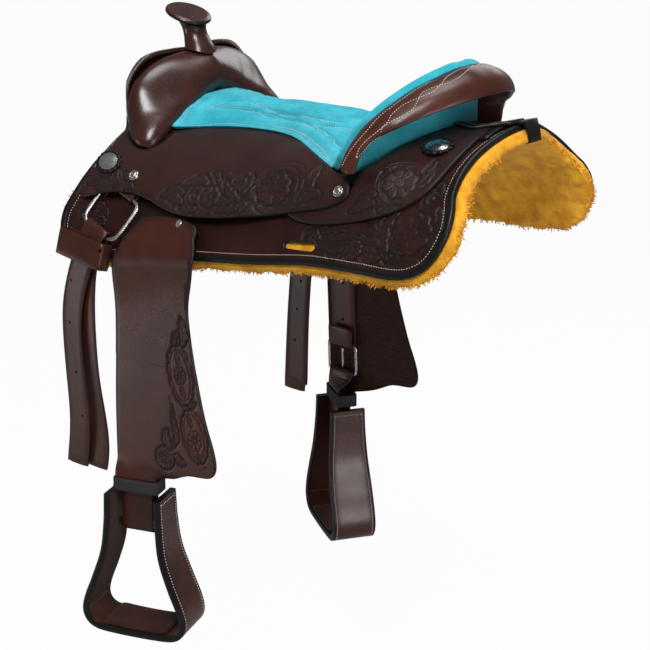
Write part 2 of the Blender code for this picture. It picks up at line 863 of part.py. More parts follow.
roll_rings = []
first_row = len(SEAT_MIDDLE)
for sign, column in ((-1, 0), (1, -1)):
    half = []
    for offset, angle in enumerate(CREST_ANGLES):
        half.append(roll_ring(sign * angle, pad_under[first_row + offset][column]))
    tip = pad_under[first_row][column] + crest(sign * 89) - crest(sign * CREST_ANGLES[0])
    half.insert(0, roll_ring(sign * 89, tip))
    roll_rings += half if sign < 0 else half[::-1]
solid("cantle_roll", *loft(roll_rings), ROLL_LEATHER)

back_rings = []
for angle in [-65, *WALL_ANGLES[::-1], 65]:
    inner = wall(angle, gap - wall_inset)
    outer = wall(angle, gap - wall_inset + back_leather)
    head = min(under_pad(*inner), under_pad(*outer)) - 1.8
    foot = [deck_z(*spot) + 2.2 for spot in (inner, outer)]
    back_rings.append([Vector((*inner, foot[0])), Vector((*inner, head)), Vector((*outer, head)),
                       Vector((*outer, foot[1]))])
solid("cantle_back_panel", *loft(back_rings), SUEDE)

# Horn
horn_base = Vector((-213.0, 0, FORK[0][3] + FORK[0][4]))
cap_middle = horn_base + Vector((-horn_lean, 0, horn_height))
cap_way = Vector((math.sin(math.radians(horn_cap_tilt)), 0, math.cos(math.radians(horn_cap_tilt))))


def disc(centre, way, radius, sides=20):
    """A ring of points about centre, facing along way."""
    across = Vector((0, 1, 0))
    side = way.cross(across).normalized()
    ring = []
    for index in range(sides):
        angle = 2 * math.pi * index / sides
        ring.append(centre + (across * math.cos(angle) + side * math.sin(angle)) * radius)
    return ring


def on_cover(radius):
    """A ring of points that lies just over the fork's cover."""
    ring = []
    for point in disc(horn_base, Vector((0, 0, 1)), radius):
        hit = cover_tree.ray_cast(point + Vector((0, 0, 60)), Vector((0, 0, -1)))[0]
        ring.append(hit + Vector((0, 0, gap + 0.9)))
    return ring


# Each row: share of the way up the neck, radius
NECK = [(0.1, horn_base_radius - 1.5), (0.3, horn_neck_radius + 0.6), (0.5, horn_neck_radius - 0.4),
        (0.68, horn_neck_radius + 1.5), (0.8, horn_neck_radius + 5.0)]
neck_rings = [on_cover(horn_base_radius * share) for share in (0.25, 0.6, 1.0)]
for share, radius in NECK:
    way = Vector((0, 0, 1)).lerp(cap_way, ease(share * 1.2)).normalized()
    neck_rings.append(disc(horn_base + (cap_middle - horn_base) * share, way, radius))
solid("horn_neck", *loft(neck_rings), DARK_LEATHER)

# Each row: share of the cap's thickness, radius. The rim bulges where its binding is
cap_foot = cap_middle - cap_way * (horn_cap_thickness * 0.75)
cap_rows = [(0.0, horn_neck_radius + 6), (0.1, horn_cap_radius - horn_binding), (0.3, horn_cap_radius),
            (0.6, horn_cap_radius), (0.8, horn_cap_radius - horn_binding / 2),
            (0.86, horn_cap_radius - horn_binding - 0.6), (1.0, horn_cap_radius - horn_binding - 2.5)]
solid("horn_cap", *loft([disc(cap_foot + cap_way * horn_cap_thickness * share, cap_way, radius, 28)
                         for share, radius in cap_rows]), DARK_LEATHER)


# Round and oval fittings that lie on a jockey
def surface_frame(x, t, height, side):
    """Point, way along the saddle, way down the flank and way out of a surface over the form."""
    def at(u, v):
        return form(u, v, height(u, v), side)
    along = (at(x + 8, t) - at(x - 8, t)).normalized()
    down = (at(x, t + 8) - at(x, t - 8)).normalized()
    out = along.cross(down) * side
    point = at(x, t)
    clear = 0.0
    for index in range(12):
        angle = math.pi * index / 6
        for reach in (6, 12, 18, 23):
            spot = at(x + reach * math.cos(angle), t + reach * math.sin(angle))
            clear = max(clear, (spot - point).dot(out))
    return point + out * (clear + gap), along, down, out.normalized()


def button(name, frame, rows, look, stretch=1.0, sides=16, scallop=0.0):
    """A turned fitting: rows of (height, radius) out of a frame; stretch lengthens it along the saddle."""
    point, along, down, out = frame
    rings = []
    for height, radius in rows:
        ring = []
        for index in range(sides):
            angle = 2 * math.pi * index / sides
            reach = radius * (1 + scallop * (index % 2))
            ring.append(point + out * height + along * math.cos(angle) * reach * stretch
                        + down * math.sin(angle) * reach)
        rings.append(ring)
    return solid(name, *loft(rings), look)


CONCHO_PLACES = {"front": (-224, 160, seat_jockey_height), "rear": (228, 64, rear_jockey_height)}
SCREW_PLACES = {"front": (-176, 164, seat_jockey_height), "rear": (140, 137, seat_jockey_height)}
rosette_depth = 2.0
concho_dome = 3.5
oval = concho_length / concho_width
for word, side in SIDES:
    for end, (x, t, height) in CONCHO_PLACES.items():
        frame = surface_frame(x, t, lambda u, v: height(u, v) + jockey_leather, side)
        rim = concho_width / 2 + rosette_rim
        button(f"rosette_{end}_{word}", frame, [(0, rim), (rosette_depth, rim - 1)], BLACK, oval, 24, 0.05)
        point, along, down, out = frame
        half = concho_width / 2
        button(f"concho_{end}_{word}", (point + out * (rosette_depth + gap), along, down, out),
               [(0, half), (1, half), (concho_dome * 0.7, half * 0.8), (concho_dome, half * 0.4)], SILVER,
               oval, 20)
    for end, (x, t, height) in SCREW_PLACES.items():
        frame = surface_frame(x, t, lambda u, v: height(u, v) + jockey_leather, side)
        button(f"jockey_screw_{end}_{word}", frame, [(0, screw_radius), (1.2, screw_radius),
                                                     (2.6, screw_radius * 0.6), (2.8, screw_radius * 0.3)],
               SILVER)

# Rear tie: a strap over the spine, and its loop round the skirts' rear edge
tie_x = 276.0
tie_half = 6.5
tie_lift = skirt_leather + gap + 0.5
tie_rings = []
for t in (-46, -36, -26, -16, -8, 0, 8, 16, 26, 36, 46):
    side = FAR if t >= 0 else NEAR
    tie_rings.append([form(x, abs(t), tie_lift + height, side) for x, height in (
        (tie_x - tie_half, 0), (tie_x + tie_half, 0), (tie_x + tie_half, strap_leather),
        (tie_x - tie_half, strap_leather))])
rear_tie = solid("rear_tie", *loft(tie_rings), DARK_LEATHER)

loop_half = 12.0
loop_wall = 2.5
loop_top = skirt_leather + gap + binding_wall + 0.9
loop_back = form_rear + fleece_overhang + 2.2
loop_low = -lining_gap - fleece_depth - 1.2


def loop_ring(y):
    """The tie loop's C shape at one distance from the middle."""
    profile = [(280, loop_top), (loop_back, loop_top), (loop_back, loop_low), (283, loop_low),
               (283, loop_low - loop_wall), (loop_back + loop_wall, loop_low - loop_wall),
               (loop_back + loop_wall, loop_top + loop_wall), (280, loop_top + loop_wall)]
    return [form(x, abs(y), lift, NEAR if y < 0 else FAR) for x, lift in profile]


rear_loop = solid("rear_loop", *loft([loop_ring(y) for y in (-loop_half, 0, loop_half)]), DARK_LEATHER)
rear_loop.hide_render = True
rear_loop.display_type = "WIRE"
joined = rear_tie.modifiers.new("loop", "BOOLEAN")
joined.operation = "UNION"
joined.solver = "EXACT"
joined.object = rear_loop


# Hung parts: a fender is drawn flat as (u, z), u being the distance aft of fender_x
FENDER_LINE = [(-66, 170.5), (-86, 186), (-106, 193), (-130, 198), (-180, 203), (-300, 211),
               (-470, fender_foot_y)]
FENDER = [(-32, -79), (-44, -96), (-58, -122), (-63, -150), (-64, -191), (-64, -260), (-64, -330),
          (-62, -395), (-60, -428), (-60, -441), (-2, -441), (-2, -423), (10, -416), (32, -409), (58, -397),
          (86, -393), (99, -388), (104, -374), (99, -352), (85, -316), (69, -259), (58, -210),
          (54, -175), (60, -138), (64, -110), (58, -90), (50, -77), (10, -73)]
flare = 3.0
twist_top = -398.0
twist_foot = -423.0
fender_lift = skirt_leather + hung_gap + strap_leather + sewn_gap + fender_leather / 2
fender_curve = through(FENDER_LINE, 4)
neck_u = strap_x - fender_x
strap_depth = fender_leather / 2 + sewn_gap + strap_leather / 2
bolt_wrap = bolt_radius + gap + strap_leather / 2
bolt_depth = strap_depth + bolt_wrap
bolt_z = stirrup_top_z - bolt_drop
buckle_depth = strap_depth + strap_leather / 2 + gap + buckle_wire


def fender_y(z):
    """Distance of the hung parts' middle from the saddle's centre plane."""
    for first, second in zip(fender_curve, fender_curve[1:]):
        if z >= second[0]:
            return mix(first[1], second[1], (z - first[0]) / (second[0] - first[0]))
    return fender_curve[-1][1]


def skirt_foot(x):
    """Arc length of the skirt's lower edge."""
    for first, second in zip(SKIRT_FOOT, SKIRT_FOOT[1:]):
        if x <= second[0]:
            return mix(first[1], second[1], max((x - first[0]) / (second[0] - first[0]), 0.0))
    return SKIRT_FOOT[-1][1]


@functools.lru_cache(maxsize=None)
def flank_y(x, z):
    """How far out the fender's middle must lie to clear the skirt, its binding and its fleece."""
    foot = skirt_foot(x)

    def outer(t):
        return form(x, t, fender_lift + 4.2 * ease((t - foot + 34) / 14))
    low, high = 100.0, foot + 6
    edge = outer(high)
    if z <= edge.z:
        return edge.y - 0.15 * (edge.z - z)
    for _ in range(18):
        middle = (low + high) / 2
        if outer(middle).z > z:
            low = middle
        else:
            high = middle
    return outer(low).y


@functools.lru_cache(maxsize=None)
def hang(u, z, side):
    """A point of the fender's middle surface, on the far side; side picks the stirrup's twist."""
    r = u - neck_u
    share = ease((twist_top - z) / (twist_top - twist_foot)) * (1 - ease((abs(r) - 34) / 60))
    turn = math.radians(mix(flare, stirrup_twist[side], share))
    x = strap_x + r * math.cos(turn)
    y = fender_y(z) - r * math.sin(turn)
    clear = flank_y(round(x, 2), round(z, 2)) if z > -260 else 0.0
    return Vector((x, (y + clear + math.hypot(y - clear, 6.0)) / 2, z))


def hung(u, z, depth, side):
    """A point of the hung parts: depth runs inward from the fender's middle."""
    point = hang(u, z, side)
    along = hang(u + 2, z, side) - hang(u - 2, z, side)
    down = hang(u, z - 2, side) - hang(u, z + 2, side)
    inward = along.cross(down).normalized()
    if inward.y > 0:
        inward = -inward
    if z < -200:
        inward = Vector((inward.x, inward.y, 0)).normalized()
    point = point + inward * depth
    return Vector((point.x, side * point.y, point.z))


def hung_strap(points, width, thickness, side):
    """A strap along (z, depth) points, lying across the stirrup leather's place."""
    path = [hung(neck_u, z, depth, side) for z, depth in points]
    across = [(hung(neck_u + 8, z, depth, side) - hung(neck_u - 8, z, depth, side)).normalized()
              for z, depth in points]
    return loft(strap(path, across, width, thickness))


def half_turn(z, depth, radius, start, stop, steps=6):
    """(z, depth) points of an arc round (z, depth); angle 0 is inward, 90 up."""
    arc = []
    for index in range(steps + 1):
        angle = math.radians(start + (stop - start) * index / steps)
        arc.append((z + radius * math.sin(angle), depth + radius * math.cos(angle)))
    return arc


hanger_lift = on_skirt + 0.4
stud_t = 160.0
fold_z = -80.0
top_bar = buckle_z + buckle_height / 2
low_bar = buckle_z - buckle_height / 2
for word, side in SIDES:
    # The fore-and-aft swing turns on a stud through this strap, under the jockey
    half = strap_width / 2
    hanger = [(strap_x - half, 143), (strap_x + half, 143), (strap_x + half, 179), (strap_x - half, 179)]
    stud = form(strap_x, stud_t, hanger_lift, side)
    layer("hanger_strap_" + word, hanger, side, hanger_lift, hanger_lift + strap_leather, LEATHER, step=12,
          pivot=stud)
    fold = hung(neck_u, fold_z, strap_depth, side)

    def fender_face(u, z, top, side=side):
        return hung(u, z, -fender_leather / 2 if top else fender_leather / 2, side)
    solid("fender_" + word, *sheet(FENDER, fender_face, step=20.0), LEATHER, fold)

    wrap_radius = buckle_wire + gap + strap_leather / 2
    upper = [(z, strap_depth) for z in (-116, -120, -140, -160, -180, -200, -260, -300, top_bar + 8)]
    upper += half_turn(top_bar, buckle_depth, wrap_radius, 180, 360)
    upper += [(top_bar + 26, buckle_depth + wrap_radius)]
    solid("stirrup_leather_" + word, *hung_strap(upper, strap_width, strap_leather, side), LEATHER, fold)

    far = bolt_depth + bolt_wrap
    back = buckle_depth + wrap_radius
    lower = [(low_bar - 3, strap_depth)] + half_turn(low_bar, buckle_depth, wrap_radius, 180, 0)
    lower += [(-403, mix(back, far, 0.2)), (-407, mix(back, far, 0.4)), (-411, mix(back, far, 0.6)),
              (-415, mix(back, far, 0.8)), (-419, far), (twist_foot, far), (-440, far), (bolt_z + 20, far)]
    lower += half_turn(bolt_z, bolt_depth, bolt_wrap, 360, 180)
    lower += [(bolt_z + 20, strap_depth), (-440, strap_depth), (twist_foot - 2, strap_depth)]
    solid("stirrup_loop_" + word, *hung_strap(lower, strap_width - 1, strap_leather, side), LEATHER, fold)

    half = buckle_width / 2
    ring = [hung(neck_u + u, z, buckle_depth, side) for u, z in (
        (-half, top_bar - 3), (-half + 3, top_bar), (half - 3, top_bar), (half, top_bar - 3),
        (half, low_bar + 3), (half - 3, low_bar), (-half + 3, low_bar), (-half, low_bar + 3))]
    solid("leather_buckle_" + word, *loft(tube(ring, buckle_wire, Vector((0, 1, 0)), 8, True), True), STEEL,
          fold)

    tongue_foot = hung(neck_u, low_bar + 8.0, buckle_depth, side)
    tongue = [tongue_foot, hung(neck_u, buckle_z, buckle_depth, side),
              hung(neck_u, top_bar - 8.0, buckle_depth, side)]
    solid("buckle_tongue_" + word, *loft(tube(tongue, 1.7, Vector((0, 1, 0)))), STEEL, tongue_foot)

    inner = fender_leather / 2 + 1.3
    reach = neck_half_width + 1.3 + band_wall / 2
    outer = far + strap_leather / 2 + 1.3
    band_z = -433.5
    band = [hung(neck_u + u, band_z, depth, side) for u, depth in (
        (-reach, -inner + 1), (-reach + 2, -inner - band_wall / 2), (reach - 2, -inner - band_wall / 2),
        (reach, -inner + 1), (reach, outer - 1), (reach - 3, outer + band_wall / 2),
        (-reach + 3, outer + band_wall / 2), (-reach, outer - 1))]
    solid("hobble_band_" + word, *loft(strap(band, Vector((0, 0, 1)), band_height, band_wall, True), True),
          ELASTIC, fold)


# Stirrups: drawn in their own plane as (r, z), z down from the top of the side plates
def stirrup_side():
    """Middle line of the wall, from one top to the tread's middle."""
    neck = (stirrup_neck - stirrup_wall) / 2
    foot = (stirrup_foot - stirrup_wall) / 2
    tread = -stirrup_height + stirrup_wall / 2
    shape = [(neck, 0), (neck + 1.5, -40), (neck + 6, -80), (mix(neck, foot, 0.55), -120), (foot - 4, -150),
             (foot, tread + 24), (foot - 5, tread + 10), (foot - 18, tread + 2.5), (foot * 0.4, tread + 0.5),
             (0, tread)]
    return through(shape, 2)


def stirrup_place(side):
    """The bolt's middle, the way along the bolt and the way through the opening."""
    centre = hung(neck_u, bolt_z, bolt_depth, side)
    turn = math.radians(stirrup_twist[side])
    bolt = Vector((math.cos(turn), -side * math.sin(turn), 0))
    return centre, bolt, Vector((-bolt.y, bolt.x, 0)) * -side


for word, side in SIDES:
    centre, bolt, opening = stirrup_place(side)
    up = Vector((0, 0, 1))
    head = centre + up * bolt_drop
    half = stirrup_side()
    line = half[:-1] + [(-r, z) for r, z in reversed(half)]
    path = [head + bolt * r + up * z for r, z in line]
    depth = [mix(stirrup_depth_top, tread_depth, ease(-z / 140)) for _, z in line]
    solid("stirrup_" + word, *loft(strap(path, opening, depth, stirrup_wall)), LEATHER, centre)
    flat = stirrup_foot / 2 - stirrup_wall - 20
    tread_z = -stirrup_height + stirrup_wall + gap + tread_leather / 2 + 0.6
    tread = [head + bolt * r + up * (tread_z + 0.0009 * r * r) for r in (-flat, -flat / 2, 0, flat / 2, flat)]
    solid("stirrup_tread_" + word, *loft(strap(tread, opening, tread_depth - 4, tread_leather)), RED_SUEDE,
          centre)
    reach = stirrup_neck / 2 - stirrup_wall - 0.4
    solid("stirrup_bolt_" + word, *loft(tube([centre - bolt * reach, centre + bolt * reach], bolt_radius,
                                             up, 12)), STEEL, centre)

# Front rigging: a dee lies on each skirt's front, its bar in a strap under the jockey
dee_bar_place = (-188, 184)
dee_lean = 14.0
rigging_leather = 2.0
dee_bar_lift = on_skirt + rigging_leather + gap + dee_wire
dee_corner = 6.0
dee_bow_depth = 24.0


def dee_frame(side):
    """The bar's middle, the ways along the bar, down to the bow and out of the skirt."""
    x, t = dee_bar_place
    point = form(x, t, dee_bar_lift, side)
    along = (form(x + 2, t, 0, side) - form(x - 2, t, 0, side)).normalized()
    down = (form(x, t + 6, 0, side) - form(x, t + 2, 0, side)).normalized()
    lean = math.radians(dee_lean)
    way = down * math.cos(lean) - along * math.sin(lean)
    across = along * math.cos(lean) + down * math.sin(lean)
    return point, across, way, across.cross(way) * side


for word, side in SIDES:
    point, across, way, out = dee_frame(side)
    half = dee_width / 2 - dee_wire
    straight = dee_length - dee_wire * 2 - dee_bow_depth
    ring = [point - across * (half - dee_corner), point + across * (half - dee_corner),
            point + across * half + way * dee_corner]
    for index in range(13):
        angle = math.pi * index / 12
        side_share = math.copysign(abs(math.cos(angle)) ** (2 / 3), math.cos(angle))
        ring.append(point + across * half * side_share
                    + way * (straight + dee_bow_depth * math.sin(angle) ** (2 / 3)))
    ring.append(point - across * half + way * dee_corner)
    solid("dee_ring_" + word, *loft(tube(ring, dee_wire, out, 8, True), True), STEEL, point)

    wrap_radius = dee_wire + gap + rigging_leather / 2
    loop_path = [point - way * 24 - out * (wrap_radius - 0.6), point - way * 12 - out * wrap_radius]
    for index in range(7):
        angle = math.radians(-90 + 180 * index / 6)
        loop_path.append(point + way * wrap_radius * math.cos(angle) + out * wrap_radius * math.sin(angle))
    loop_path += [point - way * 10 + out * wrap_radius]
    solid("rigging_strap_" + word, *loft(strap(loop_path, across, half * 1.2, rigging_leather)), LEATHER)

# Latigo on the near dee and off billet on the far one: two tails over the dee's bow
# Each row: x, height of the outer tail's middle, distance from the centre plane, turn of its width
LATIGO_OUTER = [(-250, -434, 214, 0), (-237, -374, 216, 2), (-243, -311, 217, 6), (-246, -250, 218, 8),
                (-241, -200, 219, 4)]
LATIGO_INNER = [(-224, -200, 214, 4), (-223, -254, 213, 8), (-220, -303, 212, 12), (-213, -353, 210, 8),
                (-211, -397, 209, 2), (-219, -432, 209, 0)]
BILLET_OUTER = [(-237, -450, 212, 0), (-235, -400, 213, 0), (-232, -330, 214, 0), (-226, -260, 215, 0),
                (-220, -200, 217, 0)]
BILLET_INNER = [(-218, -200, 212, 0), (-222, -260, 210, 0), (-227, -330, 209, 0), (-228, -400, 208, 0),
                (-228, -436, 207, 0)]


def tails(name, side, outer, inner):
    """A doubled strap, hung over the bow of a dee."""
    point, across, way, out = dee_frame(side)
    bow = point + way * (dee_length - dee_wire * 2)
    radius = dee_wire + gap + latigo_leather / 2 + 0.6
    path = []
    broad = []

    def add(spot, turn):
        angle = math.radians(turn)
        path.append(spot)
        broad.append(Vector((math.cos(angle), side * math.sin(angle), 0)))

    def over_skirt(t, lift):
        x = mix(bow.x - 2, -218, (t - 244) / 44)
        path.append(form(x, t, lift, side))
        broad.append(Vector((1, 0, 0)))

    for x, z, y, turn in outer:
        add(Vector((x, side * y, z)), turn)
    over_skirt(280, latigo_outer_lift)
    over_skirt(262, latigo_outer_lift + 4)
    path.append(bow + way * 3 + out * (radius + 0.4))
    broad.append(across)
    for index in range(7):
        angle = math.pi * index / 6
        path.append(bow - way * (4.2 + radius * math.sin(angle)) + out * radius * math.cos(angle))
        broad.append(across)
    path.append(bow + way * 3 - out * (radius + 0.2))
    broad.append(across)
    over_skirt(262, latigo_inner_lift + 0.6)
    over_skirt(280, latigo_inner_lift + 1.6)
    for x, z, y, turn in inner:
        add(Vector((x, side * y, z)), turn)
    return solid(name, *loft(strap(path, broad, latigo_width, latigo_leather)), LEATHER, bow)


latigo_inner_lift = skirt_leather + gap + binding_wall + 5.8
latigo_outer_lift = latigo_inner_lift + latigo_leather + 4.6
tails("latigo_left", NEAR, LATIGO_OUTER, LATIGO_INNER)
tails("off_billet_right", FAR, BILLET_OUTER, BILLET_INNER)

# The latigo's last turn: a band round both tails, under the near dee
turn_height = 34.0
turn_front = -254.0
turn_rear = -181.0
turn_t = 265.0
turn_wall = 1.8
turn_low = skirt_leather + gap + binding_wall + turn_wall / 2 + 0.4
turn_high = latigo_outer_lift + latigo_leather / 2 + 8.4
turn_path = [form(x, turn_t, lift, NEAR) for x, lift in (
    (turn_front, turn_low + 2), (turn_front + 2, turn_low), (turn_rear - 2, turn_low),
    (turn_rear, turn_low + 2), (turn_rear, turn_high - 2), (turn_rear - 3, turn_high),
    (turn_front + 3, turn_high), (turn_front, turn_high - 2))]
turn_way = (form(-216, turn_t + 5, 0, NEAR) - form(-216, turn_t - 5, 0, NEAR)).normalized()
solid("latigo_turn_left", *loft(strap(turn_path, turn_way, turn_height, turn_wall, True), True), LEATHER,
      dee_frame(NEAR)[0])
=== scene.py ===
# %% [markdown]
# # A western pleasure saddle
#
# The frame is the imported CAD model: sixty leather, wood and metal nodes with their joints. This lesson
# dresses it. Sizes are written in millimetres, as a saddler would, and turned into metres where a mesh is made.
# The horn points to -X, the cantle to +X, and the near side, which faces the camera, is -Y.

# %% Setup
import json
import math

import bmesh
import bpy
import numpy as np
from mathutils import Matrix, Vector, noise
from mathutils.bvhtree import BVHTree
from mathutils.geometry import delaunay_2d_cdt

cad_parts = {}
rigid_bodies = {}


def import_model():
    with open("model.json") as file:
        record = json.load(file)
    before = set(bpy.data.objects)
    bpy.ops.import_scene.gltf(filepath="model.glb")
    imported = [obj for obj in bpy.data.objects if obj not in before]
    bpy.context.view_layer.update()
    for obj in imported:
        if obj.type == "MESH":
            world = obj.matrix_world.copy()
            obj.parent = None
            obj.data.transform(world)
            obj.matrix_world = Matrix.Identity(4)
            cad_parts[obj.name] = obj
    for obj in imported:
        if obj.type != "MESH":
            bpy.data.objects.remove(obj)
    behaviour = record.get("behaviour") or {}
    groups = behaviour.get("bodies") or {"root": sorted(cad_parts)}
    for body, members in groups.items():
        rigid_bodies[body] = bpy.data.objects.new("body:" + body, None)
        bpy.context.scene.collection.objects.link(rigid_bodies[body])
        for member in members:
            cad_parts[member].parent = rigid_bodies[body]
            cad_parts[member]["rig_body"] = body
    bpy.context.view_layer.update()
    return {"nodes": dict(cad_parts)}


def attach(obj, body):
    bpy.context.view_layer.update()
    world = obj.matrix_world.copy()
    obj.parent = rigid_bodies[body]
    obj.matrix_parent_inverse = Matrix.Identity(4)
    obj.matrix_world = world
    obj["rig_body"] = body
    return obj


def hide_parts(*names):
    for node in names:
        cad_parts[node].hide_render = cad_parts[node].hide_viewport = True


for item in list(bpy.data.objects):
    bpy.data.objects.remove(item, do_unlink=True)
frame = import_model()
nodes = frame["nodes"]
bpy.ops.object.select_all(action="DESELECT")
MM = 0.001
SIDES = (("left", -1), ("right", 1))

# %% [markdown]
# ## Camera, light and floor
# The photograph is taken from the near side, a little in front and above, with a long lens. The light is that of a
# product studio: a large soft lamp high in front and weaker ones to the sides, so that smooth leather shows broad
# soft highlights. The saddle hangs on a stand, so the floor lies well below it. Room and floor are dim for the
# leather and white for the camera, by Light Path, since a white room would lay a grey haze over dark leather.

# %% Camera
LOOK_AZIMUTH, LOOK_ELEVATION, LOOK_DISTANCE = 40.0, 19.0, 2.38
LOOK_AT = Vector((0.0, 0.0, -0.240))
FOCAL_PIXELS, PHOTO_PIXELS, SENSOR = 1830, 650, 36.0
turn, tilt = math.radians(LOOK_AZIMUTH), math.radians(LOOK_ELEVATION)
look_back = Vector((math.sin(turn) * math.cos(tilt), -math.cos(turn) * math.cos(tilt), math.sin(tilt)))
camera = bpy.data.objects.new("camera", bpy.data.cameras.new("camera"))
bpy.context.scene.collection.objects.link(camera)
camera.data.sensor_width = SENSOR
camera.data.lens = FOCAL_PIXELS * SENSOR / PHOTO_PIXELS
camera.location = LOOK_AT + look_back * LOOK_DISTANCE
camera.rotation_euler = look_back.to_track_quat("Z", "Y").to_euler()
bpy.context.scene.camera = camera
bpy.context.scene.view_settings.view_transform = "Standard"
print("lens", round(camera.data.lens, 1), "mm at", [round(value, 2) for value in camera.location])

# %% Shader sockets as numbers
class Socket:
    """A node's output that can be used in arithmetic: each sign adds one Math node."""

    def __init__(self, finish, link):
        self.finish, self.link = finish, link

    def math(self, operation, first, second=0.0):
        return self.finish.node("Math", {"operation": operation}, {0: first, 1: second})

    def __add__(self, other):
        return self.math("ADD", self, other)

    def __sub__(self, other):
        return self.math("SUBTRACT", self, other)

    def __rsub__(self, other):
        return self.math("SUBTRACT", other, self)

    def __mul__(self, other):
        return self.math("MULTIPLY", self, other)

    def over(self, other):
        return self.math("MAXIMUM", self, other)

    __radd__ = __add__
    __rmul__ = __mul__


class Finish:
    """A material built from node expressions around one Principled shader."""

    def __init__(self, name):
        self.material = bpy.data.materials.new(name)
        self.material.use_nodes = True
        self.nodes = self.material.node_tree.nodes
        self.shader = self.nodes["Principled BSDF"]

    def feed(self, socket, value):
        if isinstance(value, Socket):
            self.material.node_tree.links.new(value.link, socket)
        elif isinstance(value, tuple) and socket.type == "RGBA":
            socket.default_value = (*value, 1.0)
        else:
            socket.default_value = value

    def node(self, kind, settings=None, inputs=None, output=0):
        """One node: its settings first, then its sockets' values or links."""
        made = self.nodes.new("ShaderNode" + kind)
        for key, value in (settings or {}).items():
            setattr(made, key, value)
        for key, value in (inputs or {}).items():
            self.feed(made.inputs[key], value)
        return Socket(self, made.outputs[output])

    def place(self, stretch=None):
        spot = self.node("TexCoord", output="Object")
        return spot if stretch is None else self.node("Mapping", {}, {"Vector": spot, "Scale": stretch})

    def noise(self, scale, detail=2.0, rough=0.5, spot=None):
        return self.node("TexNoise", {}, {"Vector": spot or self.place(), "Scale": scale, "Detail": detail,
                                          "Roughness": rough})

    def cells(self, scale):
        return self.node("TexVoronoi", {}, {"Vector": self.place(), "Scale": scale})

    def painted(self, name):
        return self.node("Attribute", {"attribute_name": name}, output="Fac")

    def blend(self, share, first, second):
        return self.node("Mix", {"data_type": "RGBA"}, {0: share, 6: first, 7: second}, output=2)

    def window(self, value, low, high):
        """0 below low, 1 above high."""
        return self.node("MapRange", {"interpolation_type": "SMOOTHSTEP"},
                         {"Value": value, "From Min": low, "From Max": high})

    def bump(self, height, strength, distance, under=None):
        inputs = {"Height": height, "Strength": strength, "Distance": distance}
        if under:
            inputs["Normal"] = under
        return self.node("Bump", {}, inputs)

    def done(self, **sockets):
        for name, value in sockets.items():
            self.feed(self.shader.inputs[name.replace("_", " ")], value)
        return self.material


# %% Lamps, room and floor
def lamp(name, spot, size, watts):
    light = bpy.data.lights.new(name, "AREA")
    light.shape, light.size, light.energy = "DISK", size, watts
    obj = bpy.data.objects.new(name, light)
    obj.location = spot
    obj.rotation_euler = (Vector(spot) - LOOK_AT).to_track_quat("Z", "Y").to_euler()
    bpy.context.scene.collection.objects.link(obj)


lamp("key_lamp", (1.1, -1.7, 2.0), 1.0, 66)
lamp("top_lamp", (0.1, 0.1, 2.3), 1.2, 30)
lamp("low_lamp", (-1.9, -1.7, -0.75), 0.8, 8)
lamp("side_lamp", (2.5, -0.6, -0.2), 1.2, 22)
lamp("back_lamp", (-0.6, 2.4, 1.2), 1.4, 14)

ROOM_LIGHT, ROOM_SEEN = 0.18, 0.82
room = bpy.data.worlds.new("room")
room.use_nodes = True
bpy.context.scene.world = room
room_nodes, background = room.node_tree.nodes, room.node_tree.nodes["Background"]
path = room_nodes.new("ShaderNodeLightPath")
seen = room_nodes.new("ShaderNodeMath")
seen.operation = "MULTIPLY_ADD"
seen.inputs[1].default_value, seen.inputs[2].default_value = ROOM_SEEN, ROOM_LIGHT
room.node_tree.links.new(path.outputs["Is Camera Ray"], seen.inputs[0])
background.inputs["Color"].default_value = (1.0, 1.0, 1.0, 1.0)
room.node_tree.links.new(seen.outputs[0], background.inputs["Strength"])

FLOOR_Z, FLOOR_GLOW, FLOOR_GLOW_SHARE = -0.98, 1.03, 0.93
floor_finish = Finish("pale_floor")
glow = floor_finish.node("Emission", {}, {"Color": (1.0, 1.0, 1.0), "Strength": FLOOR_GLOW})
seen_directly = floor_finish.node("LightPath", output="Is Camera Ray")
mixed = floor_finish.node("MixShader", {}, {0: seen_directly * FLOOR_GLOW_SHARE, 2: glow})
floor_finish.feed(mixed.link.node.inputs[1], Socket(floor_finish, floor_finish.shader.outputs[0]))
floor_finish.feed(floor_finish.nodes["Material Output"].inputs["Surface"], mixed)
floor_finish.done(Base_Color=(0.42, 0.42, 0.42), Roughness=0.9)
bpy.ops.mesh.primitive_plane_add(size=14, location=(0, 0, FLOOR_Z))
floor = bpy.context.object
floor.name = "studio_floor"
floor.data.materials.append(floor_finish.material)

# %% The arched form
FORM_FRONT, FORM_REAR = -270.0, 300.0
SPINE_FRONT, SPINE_REAR, SPINE_DIP = 16.0, 65.0, 32.0
CROWN_SLOPE, FLANK_SLOPE = 16.4, 72.8
BEND_FRONT, BEND_REAR, BEND_REACH, CROWN_REACH = 172.0, 125.5, 110.0, 40.0
FORM_STEPS = 20


def ease(share):
    """A smooth 0 to 1 ramp, for numbers and for whole arrays."""
    share = np.clip(share, 0.0, 1.0)
    return share * share * (3 - 2 * share)


def mix(first, second, share):
    return first + (second - first) * share


def unit(ways):
    return ways / np.linalg.norm(ways, axis=-1, keepdims=True)


def left_of(line):
    """Unit ways to the left of a flat line, at each of its points."""
    way = unit(np.gradient(line, axis=0))
    return np.stack([-way[:, 1], way[:, 0]], axis=1)


def slope(x, t):
    """How steeply the form falls, in radians, at arc length t from the spine."""
    along = (x - FORM_FRONT) / (FORM_REAR - FORM_FRONT)
    turn = ease((t - mix(BEND_FRONT, BEND_REAR, along) + BEND_REACH) / (2 * BEND_REACH))
    crown = CROWN_SLOPE * np.clip(t / CROWN_REACH, 0.0, 1.0)
    return np.radians(crown + (FLANK_SLOPE - CROWN_SLOPE) * turn)


